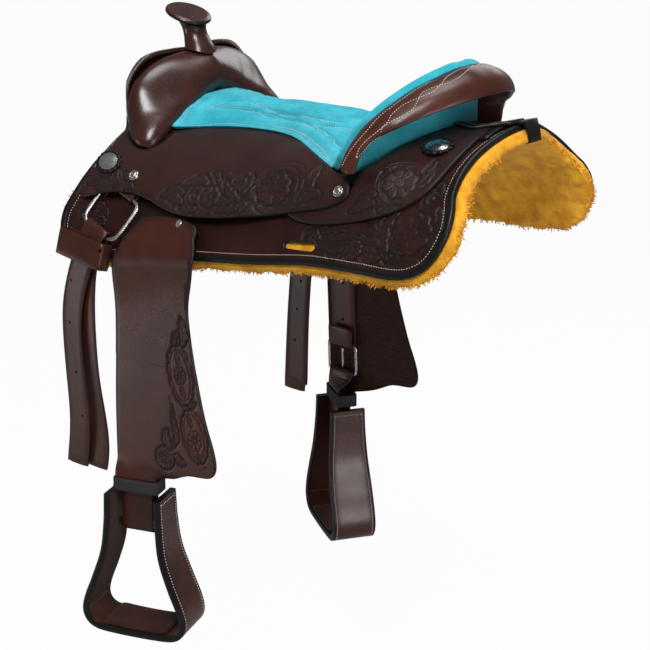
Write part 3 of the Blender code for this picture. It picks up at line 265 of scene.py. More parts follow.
def form_base(x, t):
    """Far-side points of the form itself, as an array of rows (x, y, z)."""
    x, t = np.broadcast_arrays(np.asarray(x, float), np.asarray(t, float))
    along = (x - FORM_FRONT) / (FORM_REAR - FORM_FRONT)
    middle, half = (FORM_FRONT + FORM_REAR) / 2, (FORM_REAR - FORM_FRONT) / 2
    z = mix(SPINE_FRONT, SPINE_REAR, along) - SPINE_DIP * (1 - ((x - middle) / half) ** 2)
    y = np.zeros_like(z)
    for index in range(FORM_STEPS):
        angle = slope(x, (index + 0.5) * t / FORM_STEPS)
        y = y + np.cos(angle) * t / FORM_STEPS
        z = z - np.sin(angle) * t / FORM_STEPS
    return np.stack([x, y, z], axis=-1)


def form_normal(x, t):
    return unit(np.cross(form_base(x + 1, t) - form_base(x - 1, t), form_base(x, t + 1) - form_base(x, t - 1)))


def form(x, t, lift=0.0, side=1):
    """Points at height lift above places (x, t) of one side, in millimetres."""
    x, t, lift = np.broadcast_arrays(*(np.asarray(value, float) for value in (x, t, lift)))
    return (form_base(x, t) + form_normal(x, t) * lift[..., None]) * (1, side, 1)


# %% Heights of the leather layers
BAR_REAR, REAR_LAP = 178.0, 55.0
GAP, LAP_GAP = 0.4, 1.4
SKIRT_LEATHER, JOCKEY_LEATHER, FENDER_LEATHER, STRAP_LEATHER = 4.5, 4.0, 3.5, 3.3
ON_SKIRT = SKIRT_LEATHER + GAP
BAR_TOP = ON_SKIRT + 15.0
FRONT_LIP, FRONT_TOE, EAR_RISE = 17.0, 8.0, 16.0


def over_rear(x):
    """1 where the seat jockey lies on the rear one."""
    return ease(x / REAR_LAP)


def on_bar(x, t):
    """1 where a jockey rests on the tree bar, and 0 past the lip where it reaches the skirt."""
    return ease((mix(200.0, 170.0, ease((x + 50) / 110)) - t) / 60)


def rear_jockey_height(x, t):
    return mix(ON_SKIRT + GAP, BAR_TOP + GAP, on_bar(x, t) * ease((BAR_REAR + 60 - x) / 55))


def seat_jockey_height(x, t):
    front = mix(FRONT_TOE, FRONT_LIP, ease((x + 252) / 34))
    edge = mix(front, ON_SKIRT + GAP + JOCKEY_LEATHER + LAP_GAP, over_rear(x))
    top = BAR_TOP + GAP + over_rear(x) * (JOCKEY_LEATHER + LAP_GAP)
    ear = EAR_RISE * ease((-243 - x) / 22) * ease((112 - t) / 26)
    return mix(edge, top, on_bar(x, t) * ease((x + 262) / 34)) + ear


def on_form(height, thick, side, foot=0.0):
    """How a flat pattern lies on the form: (u, v) are its places, height its foot's, and top picks its outer face,
    which is lowered by sink. foot presses its underside into the leather below."""
    def lay(u, v, top, sink):
        return form(u, v, height(u, v) + thick - sink if top else height(u, v) - foot, side)
    return lay


# %% [markdown]
# ## Finishes
# A saddle is nearly all vegetable-tanned leather, dyed and waxed. Its colour wanders slowly from red-brown to
# nearly black, its grain is a fine net of pores, and the cut edges are inked black. Where it is tooled, the dark
# stain stays in the cuts. The stain and the ink come from two attributes that are painted on the meshes below, so
# they stay on the leather when a strap swings. Suede is the flesh side: matt, with a short brushed nap.
# On the seat pad's suede the same attribute carries painted shade in the grooves of the sewn channels.

# %% Leather
BLACK_INK = (0.006, 0.005, 0.005)
FLECKS, PORES, CREASES = 420.0, 1050.0, 260.0


def dimmed(colour, share):
    return tuple(value * share for value in colour)


def leather(name, light, dark, rough=0.36, grain=0.22, coat=0.0, gloss=0.42):
    made = Finish(name)
    tone = made.window(made.noise(11.0, 4.0, 0.6), 0.3, 0.7)
    fleck = made.window(made.noise(FLECKS, 3.0, 0.65), 0.35, 0.75)
    colour = made.blend(tone, dark, light)
    colour = made.blend(fleck * 0.28, colour, dimmed(light, 0.45))
    stain = made.painted("stain")
    edge = made.painted("ink")
    colour = made.blend(stain * 0.94, colour, dimmed(dark, 0.08))
    colour = made.blend(edge, colour, BLACK_INK)
    pores = made.cells(PORES)
    creases = made.noise(CREASES, 4.0, 0.6)
    normal = made.bump(creases, grain * 0.5, 0.0006, made.bump(pores, grain, 0.00035))
    shine = rough + (made.noise(38.0, 3.0) - 0.5) * 0.16 + fleck * 0.08 + stain * 0.35
    return made.done(Base_Color=colour, Roughness=shine.over(0.16), Normal=normal, Coat_Weight=coat,
                     Coat_Roughness=0.25, Specular_IOR_Level=gloss)


jockey_leather = leather("jockey_leather", (0.034, 0.0105, 0.0084), (0.020, 0.0064, 0.0052), 0.38, gloss=0.34)
fork_leather = leather("fork_leather", (0.050, 0.0150, 0.0105), (0.024, 0.0072, 0.0056), 0.24, 0.10, coat=0.12)
front_leather = leather("front_leather", (0.034, 0.0115, 0.0090), (0.020, 0.0070, 0.0058), 0.42, gloss=0.34)
# The skirts' leather colour is darkened further by painted shade: the shadow that the jockeys and fenders cast over
# the skirts.
skirt_leather = leather("skirt_leather", (0.032, 0.0078, 0.0048), (0.012, 0.0032, 0.0024), 0.36, gloss=0.30)
fender_leather = leather("fender_leather", (0.062, 0.0150, 0.0090), (0.030, 0.0080, 0.0056), 0.30, 0.30, gloss=0.36)
strap_leather = leather("strap_leather", (0.058, 0.0150, 0.0090), (0.032, 0.0088, 0.0060), 0.31, 0.26, gloss=0.36)
roll_leather = leather("roll_leather", (0.080, 0.0200, 0.0110), (0.044, 0.0112, 0.0066), 0.30, 0.16, gloss=0.36)
black_leather = leather("black_leather", (0.0070, 0.0060, 0.0060), (0.0040, 0.0035, 0.0035), 0.36, gloss=0.26)
stirrup_leather = leather("stirrup_leather", (0.064, 0.0160, 0.0098), (0.034, 0.0092, 0.0062), 0.26, 0.16,
                          coat=0.10)

# %% Suede, flesh side, wool, elastic, thread, wood and metal
def suede(name, light, dark, nap=0.5):
    made = Finish(name)
    brushed = made.window(made.noise(24.0, 5.0, 0.7), 0.32, 0.68)
    fibre = made.noise(900.0, 4.0, 0.75)
    colour = made.blend(brushed, dark, light)
    colour = made.blend(made.window(fibre, 0.4, 0.7) * 0.3, colour, dimmed(dark, 0.72))
    # This darkens the suede; on the seat pad the attribute holds painted shade in the grooves of the sewn channels.
    colour = made.blend(made.painted("stain") * 0.4, colour, dimmed(dark, 0.5))
    return made.done(Base_Color=colour, Roughness=0.92, Normal=made.bump(fibre, nap, 0.0005),
                     Sheen_Weight=0.10, Sheen_Roughness=0.5, Specular_IOR_Level=0.15)


def flesh_side():
    """The rough, combed back of a fender."""
    made = Finish("flesh_side")
    combed = made.noise(60.0, 6.0, 0.75, made.place((1.0, 1.0, 9.0)))
    colour = made.blend(made.window(combed, 0.3, 0.75), (0.018, 0.0075, 0.0056), (0.055, 0.0235, 0.0150))
    colour = made.blend(made.painted("ink"), colour, BLACK_INK)
    return made.done(Base_Color=colour, Roughness=0.86, Normal=made.bump(combed, 0.6, 0.0008),
                     Specular_IOR_Level=0.25)


def wool():
    made = Finish("gold_wool")
    tuft = made.noise(48.0, 5.0, 0.65)
    fibre = made.noise(420.0, 6.0, 0.8, made.place((1.0, 1.0, 2.6)))
    colour = made.blend(made.window(tuft, 0.3, 0.7), (0.62, 0.24, 0.008), (0.90, 0.46, 0.026))
    colour = made.blend(made.window(fibre, 0.45, 0.8) * 0.45, colour, (0.95, 0.60, 0.12))
    normal = made.bump(tuft, 0.5, 0.004, made.bump(fibre, 0.8, 0.0014))
    return made.done(Base_Color=colour, Roughness=0.95, Normal=normal, Sheen_Weight=0.10, Sheen_Roughness=0.5,
                     Specular_IOR_Level=0.15)


def metal(name, colour, rough, smudge=0.15):
    made = Finish(name)
    rubbed = made.noise(120.0, 5.0, 0.7)
    fine = made.noise(1400.0, 2.0)
    tarnish = made.painted("stain")
    base = made.blend(made.window(rubbed, 0.42, 0.7) * 0.35, colour, dimmed(colour, 0.62))
    base = made.blend(tarnish, base, (0.035, 0.033, 0.032))
    return made.done(Base_Color=base, Roughness=rough + rubbed * smudge + tarnish * 0.2, Metallic=1.0,
                     Normal=made.bump(fine, 0.03, 0.0002))


def elastic_webbing():
    made = Finish("elastic_webbing")
    ribs = made.node("TexWave", {"bands_direction": "Z"}, {"Vector": made.place(), "Scale": 260.0,
                                                           "Distortion": 0.6, "Detail": 1.0})
    rows = made.noise(700.0, 2.0)
    colour = made.blend(ribs, (0.0085, 0.0085, 0.0095), (0.024, 0.024, 0.027))
    return made.done(Base_Color=colour, Roughness=0.7 + rows * 0.15, Normal=made.bump(ribs, 0.5, 0.0006))


def thread(name, colour):
    made = Finish(name)
    twist = made.noise(1600.0, 2.0)
    return made.done(Base_Color=made.blend(twist, dimmed(colour, 0.6), colour), Roughness=0.75,
                     Normal=made.bump(twist, 0.4, 0.0003))


def bare_wood():
    made = Finish("dark_tree_wood")
    grain = made.noise(30.0, 6.0, 0.7, made.place((0.25, 4.0, 4.0)))
    colour = made.blend(made.window(grain, 0.35, 0.7), (0.020, 0.0095, 0.0065), (0.042, 0.0190, 0.0120))
    return made.done(Base_Color=colour, Roughness=0.65, Normal=made.bump(grain, 0.3, 0.0008))


turquoise_suede = suede("turquoise_suede", (0.060, 0.470, 0.570), (0.024, 0.330, 0.420), 0.4)
red_suede = suede("red_suede", (0.052, 0.0120, 0.0062), (0.026, 0.0062, 0.0036))
flesh = flesh_side()
fleece_wool = wool()
steel = metal("polished_steel", (0.56, 0.54, 0.51), 0.20)
silver = metal("engraved_silver", (0.80, 0.79, 0.76), 0.16, 0.10)
webbing = elastic_webbing()
white_thread = thread("white_thread", (0.72, 0.68, 0.62))
orange_thread = thread("orange_thread", (0.42, 0.10, 0.025))
strap_thread = thread("brown_lace", (0.16, 0.07, 0.045))
wood = bare_wood()
print("finishes", len(bpy.data.materials))

# %% [markdown]
# ## Two ways to make a piece
# Turned, cast and sewn pieces keep the CAD shape, so each is copied from its node, its loose triangles are merged
# back into quads, its sharp edges are creased, and a Subdivision Surface rounds it as a burnisher rounds leather.
# The big leathers need more: their outline is cut flat, filled with small triangles where the tooling will be, and
# laid on the saddle's form at its height. That way a pattern can be drawn flat, as a saddler draws it, and bend
# with the leather.

# %% Copies of nodes
WELD = 0.00003  # metres: points of a node nearer than this are one


def choose(obj):
    bpy.ops.object.select_all(action="DESELECT")
    obj.select_set(True)
    bpy.context.view_layer.objects.active = obj


def shade(obj, angle):
    choose(obj)
    bpy.ops.object.shade_smooth_by_angle(angle=math.radians(angle))


def paint(obj, word, values):
    layer = obj.data.attributes.get(word) or obj.data.attributes.new(word, "FLOAT", "POINT")
    layer.data.foreach_set("value", np.asarray(values, np.float32))


def stand_for(obj, *replaced, body=None):
    """The piece rides where its node does, and takes its place."""
    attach(obj, body or nodes[replaced[0]]["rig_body"])
    if replaced:
        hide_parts(*replaced)
    return obj


def copy_of(node, finish, levels=2, sharp=38.0, crease=0.75, angle=50.0):
    """A rounded copy of a node."""
    obj = bpy.data.objects.new(node + "_skin", nodes[node].data.copy())
    bpy.context.scene.collection.objects.link(obj)
    choose(obj)
    bpy.ops.object.mode_set(mode="EDIT")
    bpy.ops.mesh.select_all(action="SELECT")
    bpy.ops.mesh.remove_doubles(threshold=WELD)
    bpy.ops.mesh.tris_convert_to_quads(face_threshold=math.radians(35), shape_threshold=math.radians(60))
    bpy.ops.object.mode_set(mode="OBJECT")
    work = bmesh.new()
    work.from_mesh(obj.data)
    layer = work.edges.layers.float.get("crease_edge") or work.edges.layers.float.new("crease_edge")
    for edge in work.edges:
        if edge.calc_face_angle(0.0) > math.radians(sharp):
            edge[layer] = crease
    work.to_mesh(obj.data)
    work.free()
    if levels:
        rounder = obj.modifiers.new("rounder", "SUBSURF")
        rounder.levels = rounder.render_levels = levels
        bpy.ops.object.modifier_apply(modifier="rounder")
    obj.data.materials.clear()
    obj.data.materials.append(finish)
    shade(obj, angle)
    return stand_for(obj, node)


def new_mesh(name, points, faces, finish, angle=40.0, **painted):
    """An object from points in millimetres, with attributes painted on them."""
    mesh = bpy.data.meshes.new(name)
    mesh.from_pydata((np.asarray(points, float) * MM).tolist(), [], [tuple(face) for face in faces])
    mesh.update()
    obj = bpy.data.objects.new(name, mesh)
    bpy.context.scene.collection.objects.link(obj)
    for word, values in painted.items():
        paint(obj, word, values)
    mesh.materials.append(finish)
    work = bmesh.new()
    work.from_mesh(mesh)
    if work.calc_volume(signed=True) < 0:
        bmesh.ops.reverse_faces(work, faces=work.faces)
    work.to_mesh(mesh)
    work.free()
    shade(obj, angle)
    return obj


def tube(rows, columns, base=0):
    """Faces of a closed tube made of rings of points, with a cap at each end."""
    faces = []
    for start in range(base, base + (rows - 1) * columns, columns):
        for corner in range(columns):
            a, b = start + corner, start + (corner + 1) % columns
            faces.append((a, b, b + columns, a + columns))
    end = base + (rows - 1) * columns
    return faces + [tuple(range(base, base + columns))[::-1], tuple(range(end, end + columns))]


# %% Lines and loops
def mirrored(line):
    return [(x, -y, z) for x, y, z in line]


def mesh_arrays(obj):
    places, ways = np.empty(len(obj.data.vertices) * 3), np.empty(len(obj.data.vertices) * 3)
    obj.data.vertices.foreach_get("co", places)
    obj.data.vertices.foreach_get("normal", ways)
    return places.reshape(-1, 3) / MM, ways.reshape(-1, 3)


def moved(obj, places):
    obj.data.vertices.foreach_set("co", (places * MM).ravel())
    obj.data.update()


def through(points, pieces=4):
    """A smooth line through given points, as a Catmull-Rom curve."""
    points = np.asarray(points, float)
    dense = []
    for index in range(len(points) - 1):
        p0, p1 = points[max(index - 1, 0)], points[index]
        p2, p3 = points[index + 1], points[min(index + 2, len(points) - 1)]
        for step in range(pieces):
            u = step / pieces
            dense.append(0.5 * (2 * p1 + (p2 - p0) * u + (2 * p0 - 5 * p1 + 4 * p2 - p3) * u * u
                                + (3 * p1 - p0 - 3 * p2 + p3) * u ** 3))
    return np.array(dense + [points[-1]])


def walk(line, pitch, closed=False):
    """The line cut into equal steps of about this pitch."""
    line = np.asarray(line, float)
    if closed:
        line = np.vstack([line, line[:1]])
    steps = np.linalg.norm(np.diff(line, axis=0), axis=1)
    along = np.concatenate([[0], np.cumsum(steps)])
    count = max(int(round(along[-1] / pitch)), 2)
    marks = np.linspace(0, along[-1], count + 1)
    if closed:
        marks = marks[:-1]
    return np.stack([np.interp(marks, along, line[:, k]) for k in range(line.shape[1])], axis=1)


def within(u, v, loop):
    """Which places lie inside a closed loop."""
    found = np.zeros(np.shape(u), bool)
    for (x1, y1), (x2, y2) in zip(loop, np.roll(loop, -1, axis=0)):
        if y1 != y2:
            found ^= ((y1 > v) != (y2 > v)) & (u < (x2 - x1) * (v - y1) / (y2 - y1) + x1)
    return found


def distance(u, v, line, closed=True):
    """Distance of places from a line."""
    best = np.full(np.shape(u), 1e9)
    ends = np.roll(line, -1, axis=0) if closed else line[1:]
    for a, b in zip(line, ends):
        d = b - a
        share = np.clip(((u - a[0]) * d[0] + (v - a[1]) * d[1]) / max(d @ d, 1e-9), 0, 1)
        best = np.minimum(best, np.hypot(u - a[0] - share * d[0], v - a[1] - share * d[1]))
    return best


# %% Cutting a leather
CARVE_DEPTH, EDGE_STEP = 1.45, 2.6
OFF_GRID = (0.013, 0.017)


def cut_sheet(name, outline, lay, finish, fine=(), holes=(), coarse=8.0, pitch=1.3, tooling=None,
              rounding=0.9, ink_width=1.5, angle=55.0):
    """A sheet of leather with rounded, inked edges. lay(u, v, top, sink) gives its points: top picks the outer
    face, and sink is how far that face lies below its full height. fine lists the boxes that need small faces."""
    loops = [walk(loop, EDGE_STEP, True) for loop in (outline, *holes)]

    def inside(u, v):
        found = within(u, v, loops[0])
        for hole in loops[1:]:
            found &= ~within(u, v, hole)
        return found

    def from_edge(u, v):
        return np.min([distance(u, v, loop) for loop in loops], axis=0)

    # Places inside the outline: a coarse grid, with a finer one in each box that takes tooling.
    low, high = loops[0].min(0), loops[0].max(0)
    spots = []
    for spacing, boxes in ((coarse, None), (pitch, fine)):
        for box in ([(low[0], low[1], high[0], high[1])] if boxes is None else boxes):
            u, v = np.meshgrid(np.arange(math.ceil(box[0] / spacing), box[2] / spacing) * spacing,
                               np.arange(math.ceil(box[1] / spacing), box[3] / spacing) * spacing)
            u, v = u.ravel() + OFF_GRID[0], v.ravel() + OFF_GRID[1]
            if boxes is None:
                for x0, y0, x1, y1 in fine:
                    keep = ~((u > x0 - 1) & (u < x1 + 1) & (v > y0 - 1) & (v < y1 + 1))
                    u, v = u[keep], v[keep]
            keep = inside(u, v)
            u, v = u[keep], v[keep]
            far = from_edge(u, v)
            keep = far > rounding + min(spacing, 3.0) * 0.5
            spots.append(np.stack([u[keep], v[keep]], axis=1))
    # Every loop, and a ring just inside it where the leather reaches its full height.
    rims, rings, edges, start = [], [], [], 0
    for number, loop in enumerate(loops):
        way = unit(np.roll(loop, -1, axis=0) - np.roll(loop, 1, axis=0))
        area = np.sum(loop[:, 0] * np.roll(loop[:, 1], -1) - loop[:, 1] * np.roll(loop[:, 0], -1))
        inward = np.stack([-way[:, 1], way[:, 0]], axis=1) * (1 if area > 0 else -1) * (1 if number == 0 else -1)
        rims.append(loop)
        rings.append(loop + inward * rounding)
        count = len(loop)
        edges += [(start + k, start + (k + 1) % count) for k in range(count)]
        start += count
    flat = np.vstack(rims + rings + spots)
    made, _, triangles = delaunay_2d_cdt([Vector(p) for p in flat.tolist()], edges, [], 0, 1e-5)[:3]
    flat = np.array([tuple(p) for p in made])
    triangles = np.array([t for t in triangles if len(t) == 3])
    centre = flat[triangles].mean(axis=1)
    triangles = triangles[inside(centre[:, 0], centre[:, 1])]
    u, v = flat.T
    far = from_edge(u, v)
    edge = ease(1 - (far - rounding * 0.5) / ink_width)
    sink = np.where(far < rounding * 0.4, rounding * 0.85, 0.0)
    stain = np.zeros(len(u))
    if tooling:
        depth, stain = tooling.sample(u, v)
        sink = sink + depth * CARVE_DEPTH * ease(far / 2.5)
    # The outer face, the underside, and a wall along every edge that only one triangle has.
    points = np.vstack([lay(u, v, True, sink), lay(u, v, False, np.zeros(len(u)))])
    border = {}
    for a, b, c in triangles.tolist():
        for pair in ((a, b), (b, c), (c, a)):
            border[pair] = pair[::-1] not in border
            if not border[pair]:
                border[pair[::-1]] = False
    count = len(u)
    faces = triangles.tolist() + [(c + count, b + count, a + count) for a, b, c in triangles.tolist()]
    faces += [(b, a, a + count, b + count) for (a, b), open_edge in border.items() if open_edge]
    obj = new_mesh(name, points, faces, finish, angle, ink=np.tile(edge, 2),
                   stain=np.concatenate([stain, np.zeros(count)]))
    print(name, "faces", len(obj.data.polygons))
    return obj


# %% [markdown]
# ## Tooling
# A carver wets the leather, cuts the outlines of flowers, leaves and scrolls with a swivel knife, bevels along the
# cuts, and beats the background down with a matting stamp, which also takes the dark stain. Here the same strokes
# are drawn on a fine flat grid: cuts, raised motifs and matted ground, each as a depth in millimetres. The sheets
# above sample that grid, so the carving is real relief in the mesh.

# %% A carver's bench
class Tooling:
    PITCH = 0.5

    def __init__(self, low, high):
        self.low = np.array(low, float)
        self.u, self.v = np.meshgrid(np.arange(low[0], high[0], self.PITCH),
                                     np.arange(low[1], high[1], self.PITCH), indexing="ij")
        self.cuts = np.zeros_like(self.u)
        self.motif = np.zeros_like(self.u)

    def window(self, line, reach):
        first = np.floor((line.min(0) - reach - self.low) / self.PITCH).astype(int)
        last = np.ceil((line.max(0) + reach - self.low) / self.PITCH).astype(int)
        first, last = np.maximum(first, 0), np.maximum(last, 1)
        return np.s_[first[0]:last[0], first[1]:last[1]]

    def cut(self, line, width=0.75, depth=0.7, closed=False):
        line = np.asarray(line, float)
        win = self.window(line, width + 1)
        if self.u[win].size:
            far = distance(self.u[win], self.v[win], line, closed)
            self.cuts[win] = np.maximum(self.cuts[win], depth * np.clip(1.25 - far / width, 0, 1))

    def shape(self, loop, width=0.85, depth=0.8):
        """A closed motif: raised inside, cut all round."""
        loop = np.asarray(loop, float)
        win = self.window(loop, 1)
        if self.u[win].size:
            self.motif[win] = np.maximum(self.motif[win], within(self.u[win], self.v[win], loop))
        self.cut(loop, width, depth, True)

    @staticmethod
    def round(centre, radius, squash=1.0, turn=0.0, ripple=0.0, petals=8, start=0.0, stop=360.0):
        """Points of a circle or arc, squashed along v and turned, with a rippled rim for petals."""
        angle = np.radians(np.linspace(start, stop, 49))
        reach = radius * (1 - ripple + ripple * 2 * np.abs(np.sin(petals * angle / 2)))
        x, y = reach * np.cos(angle), reach * np.sin(angle) * squash
        cos, sin = math.cos(math.radians(turn)), math.sin(math.radians(turn))
        return np.stack([centre[0] + x * cos - y * sin, centre[1] + x * sin + y * cos], axis=1)

    def flower(self, centre, radius, petals=8, squash=0.85, turn=0.0):
        self.shape(self.round(centre, radius, squash, turn, 0.09, petals)[:-1])
        for part, reach in ((0.0, 0.90), (0.5, 0.62)):
            for index in range(petals):
                angle = 360.0 * (index + part) / petals
                ray = [self.round(centre, radius * share, squash, turn, start=angle + 7 * share, stop=angle)[0]
                       for share in (0.36, 0.6, reach)]
                self.cut(ray, 0.6 if part else 0.8, 0.5 if part else 0.75)
        self.cut(self.round(centre, radius * 0.30, squash, turn)[:-1], 0.8, 0.8, True)
        self.cut(self.round(centre, radius * 0.13, squash, turn)[:-1], 0.6, 0.5, True)

    def pinwheel(self, centre, radius, arms=15):
        self.shape(self.round(centre, radius)[:-1])
        for index in range(arms):
            start = 360.0 * index / arms
            arm = [self.round(centre, radius * share, start=start + 62 * (1 - share) ** 1.3, stop=0)[0]
                   for share in (0.16, 0.35, 0.55, 0.75, 0.95)]
            self.cut(arm, 0.75, 0.75)
        self.cut(self.round(centre, radius * 0.14)[:-1], 0.8, 0.6, True)

    def leaf(self, spine, width, teeth=4, veins=5):
        line = walk(through(spine, 6), 0.8)
        share = np.linspace(0, 1, len(line))
        across = left_of(line)
        half = width / 2 * np.sin(np.pi * share ** 0.75) ** 0.8
        half = (half * (1 + 0.20 * np.sin(teeth * 2 * np.pi * share)))[:, None]
        self.shape(np.vstack([line + across * half, (line - across * half)[::-1]]), 0.75, 0.75)
        self.cut(line[2:-3], 0.6, 0.6)
        for index in range(veins):
            here = int(len(line) * (0.16 + 0.62 * index / veins))
            there = min(here + int(len(line) * 0.13) + 1, len(line) - 1)
            for way_out in (1, -1):
                self.cut([line[here], line[there] + way_out * across[there] * half[there] * 0.72], 0.55, 0.45)

    def scroll(self, centre, radius, start, turns=1.1, squash=1.0, width=0.9):
        """A spiral stem, cut as a double line, that ends in a ball."""
        angles = np.linspace(start, start + 360 * turns, int(34 * abs(turns)) + 4)
        reach = np.linspace(1.0, 0.28, len(angles))
        for inset in (0.0, 2.2):
            line = [self.round(centre, max(radius * r - inset, 0.6), squash, start=a, stop=a)[0]
                    for a, r in zip(angles, reach)]
            self.cut(line, width, 0.75)
        self.shape(self.round(centre, radius * 0.22, squash)[:-1])

    def stem(self, points, gap=1.7):
        line = walk(through(points, 6), 0.9)
        across = left_of(line)
        taper = np.linspace(1.0, 0.25, len(line))[:, None] * gap / 2
        self.shape(np.vstack([line + across * taper, (line - across * taper)[::-1]]), 0.7, 0.7)

    def seeds(self, points, radius=1.0):
        for point in points:
            self.cut(self.round(point, radius)[:-1], 0.55, 0.65, True)

    def finish(self, halo=3.0, ground=0.75):
        """Beats the background down round the motifs."""
        near = self.motif.copy()
        for _ in range(int(halo / self.PITCH)):
            spread = near.copy()
            spread[1:] = np.maximum(spread[1:], near[:-1])
            spread[:-1] = np.maximum(spread[:-1], near[1:])
            spread[:, 1:] = np.maximum(spread[:, 1:], near[:, :-1])
            spread[:, :-1] = np.maximum(spread[:, :-1], near[:, 1:])
            near = spread
        matted = near * (1 - self.motif)
        # The stamp's own marks, as a wavy grid of dots.
        dots = 0.5 + 0.5 * np.sin(self.u * 3.3 + np.sin(self.v * 1.7)) * np.sin(self.v * 3.7)
        depth = matted * ground * (0.75 + 0.45 * dots) - self.motif * 0.30
        for _ in range(2):
            depth[1:-1, 1:-1] = (depth[1:-1, 1:-1] * 2 + depth[:-2, 1:-1] + depth[2:, 1:-1] + depth[1:-1, :-2]
                                 + depth[1:-1, 2:]) / 6
        self.depth = depth + self.cuts
        self.dark = np.clip(np.maximum(self.cuts * 1.4, matted * (0.6 + 0.4 * dots)), 0, 1)
        return self

    def sample(self, u, v):
        """Depth and stain at places, 0 off the bench."""
        values = []
        i, j = (u - self.low[0]) / self.PITCH, (v - self.low[1]) / self.PITCH
        rows, columns = self.u.shape
        on = (i > 0) & (j > 0) & (i < rows - 1) & (j < columns - 1)
        i, j = np.clip(i, 0, rows - 2), np.clip(j, 0, columns - 2)
        a, b = i.astype(int), j.astype(int)
        p, q = i - a, j - b
        for field in (self.depth, self.dark):
            value = (field[a, b] * (1 - p) * (1 - q) + field[a + 1, b] * p * (1 - q)
                     + field[a, b + 1] * (1 - p) * q + field[a + 1, b + 1] * p * q)
            values.append(np.where(on, value, 0.0))
        return values


# %% [markdown]
# ## Stitching
# Every seam is a row of short thread bars. One bar is a small pinched capsule with 26 faces. It is copied
# along a line that is snapped to the leather under it, a little apart, with its ends sunk into the surface.

# %% A stitch and a seam
STITCH_LENGTHS = (-0.5, -0.36, 0.0, 0.36, 0.5)
STITCH_RADII = (0.25, 0.8, 1.0, 0.8, 0.25)
STITCH_DIPS = (-1.3, -0.15, 0.25, -0.15, -1.3)
STITCH_SIDES = 6


def snapped(obj, line):
    """The nearest places and outward ways on a mesh, for points in millimetres."""
    tree = BVHTree.FromObject(obj, bpy.context.evaluated_depsgraph_get())
    places, ways = [], []
    for point in line:
        spot, way = tree.find_nearest(Vector(point) * MM)[:2]
        places.append(np.array(spot) / MM)
        ways.append(np.array(way))
    ways = np.array(ways)
    for _ in range(3):
        if len(ways) > 2:
            ways[1:-1] = ways[1:-1] * 0.5 + (ways[:-2] + ways[2:]) * 0.25
    return np.array(places), unit(ways)


def run_on(obj, line, pieces=4, pitch=2.5, shift=0.0):
    """A seam's run on a mesh: a smooth line through given points, shifted along x and snapped to the leather."""
    return snapped(obj, walk(through(line, pieces), pitch) + (shift, 0, 0))


def sew(name, body, runs, finish=None, pitch=3.6, share=0.58, radius=0.48):
    """Stitches along runs of (points, ways out of the leather)."""
    points, faces = [], []
    for places, ways in runs:
        steps = np.linalg.norm(np.diff(places, axis=0), axis=1)
        along = np.concatenate([[0], np.cumsum(steps)])
        count = max(int(along[-1] / pitch), 1)
        ends = np.linspace(0, along[-1], count + 1)

        def at(values, marks):
            return np.stack([np.interp(marks, along, values[:, k]) for k in range(3)], axis=1)

        first, last = at(places, ends[:-1]), at(places, ends[1:])
        out = at(ways, (ends[:-1] + ends[1:]) / 2)
        middle, way = (first + last) / 2, last - first
        length = np.linalg.norm(way, axis=1, keepdims=True)
        way /= np.maximum(length, 1e-6)
        side = unit(np.cross(way, out))
        for index in range(count):
            faces += tube(len(STITCH_LENGTHS), STITCH_SIDES, len(points))
            for s, r, dip in zip(STITCH_LENGTHS, STITCH_RADII, STITCH_DIPS):
                core = middle[index] + way[index] * s * length[index] * share + out[index] * radius * dip
                for corner in range(STITCH_SIDES):
                    angle = 2 * math.pi * corner / STITCH_SIDES
                    points.append(core + (side[index] * math.cos(angle) + out[index] * math.sin(angle)) * r * radius)
    obj = new_mesh(name, points, faces, finish or white_thread, 70.0)
    print(name, "stitches", len(points) // (len(STITCH_LENGTHS) * STITCH_SIDES))
    return stand_for(obj, body=body)


# %% [markdown]
# ## Skirts
# The skirts are the large bottom leathers, stitched to the fleece. Their rear corners carry the largest tooling: an
# open flower inside scrolls, a smaller flower, and leaves that run forward to the strap slot. Behind the front dee
# there is a small scroll panel.

# %% Skirt pattern and skirts
SKIRT_FRONT = [(-246, 62), (-252, 90), (-255, 119), (-258, 144), (-262, 175), (-268, 207), (-274, 232),
               (-272, 255), (-263, 272), (-246, 280), (-226, 277)]
SKIRT_FOOT = [(-226, 277), (-160, 258), (-100, 243), (-44, 233), (33, 224), (112, 217), (182, 222),
              (236, 230), (262, 229), (282, 220), (296, 200), (301, 175), (297, 152)]
SKIRT_REAR = [(297, 152), (290, 134), (286, 104), (287, 68), (293, 36), (298, 14), (300, 0.5)]
SKIRT_INNER = [(213, 0.5), (206, 22), (180, 46), (60, 46), (-120, 46), (-200, 50), (-236, 54)]
SLOT = np.array([(78, 193), (118, 192), (121, 195), (121, 199), (117, 202), (79, 201), (75, 198), (75, 195)], float)
skirt_edge = np.vstack([through(SKIRT_FRONT, 6)[:-1], through(SKIRT_FOOT, 6)[:-1], through(SKIRT_REAR, 6)])
skirt_outline = np.vstack([skirt_edge, SKIRT_INNER])


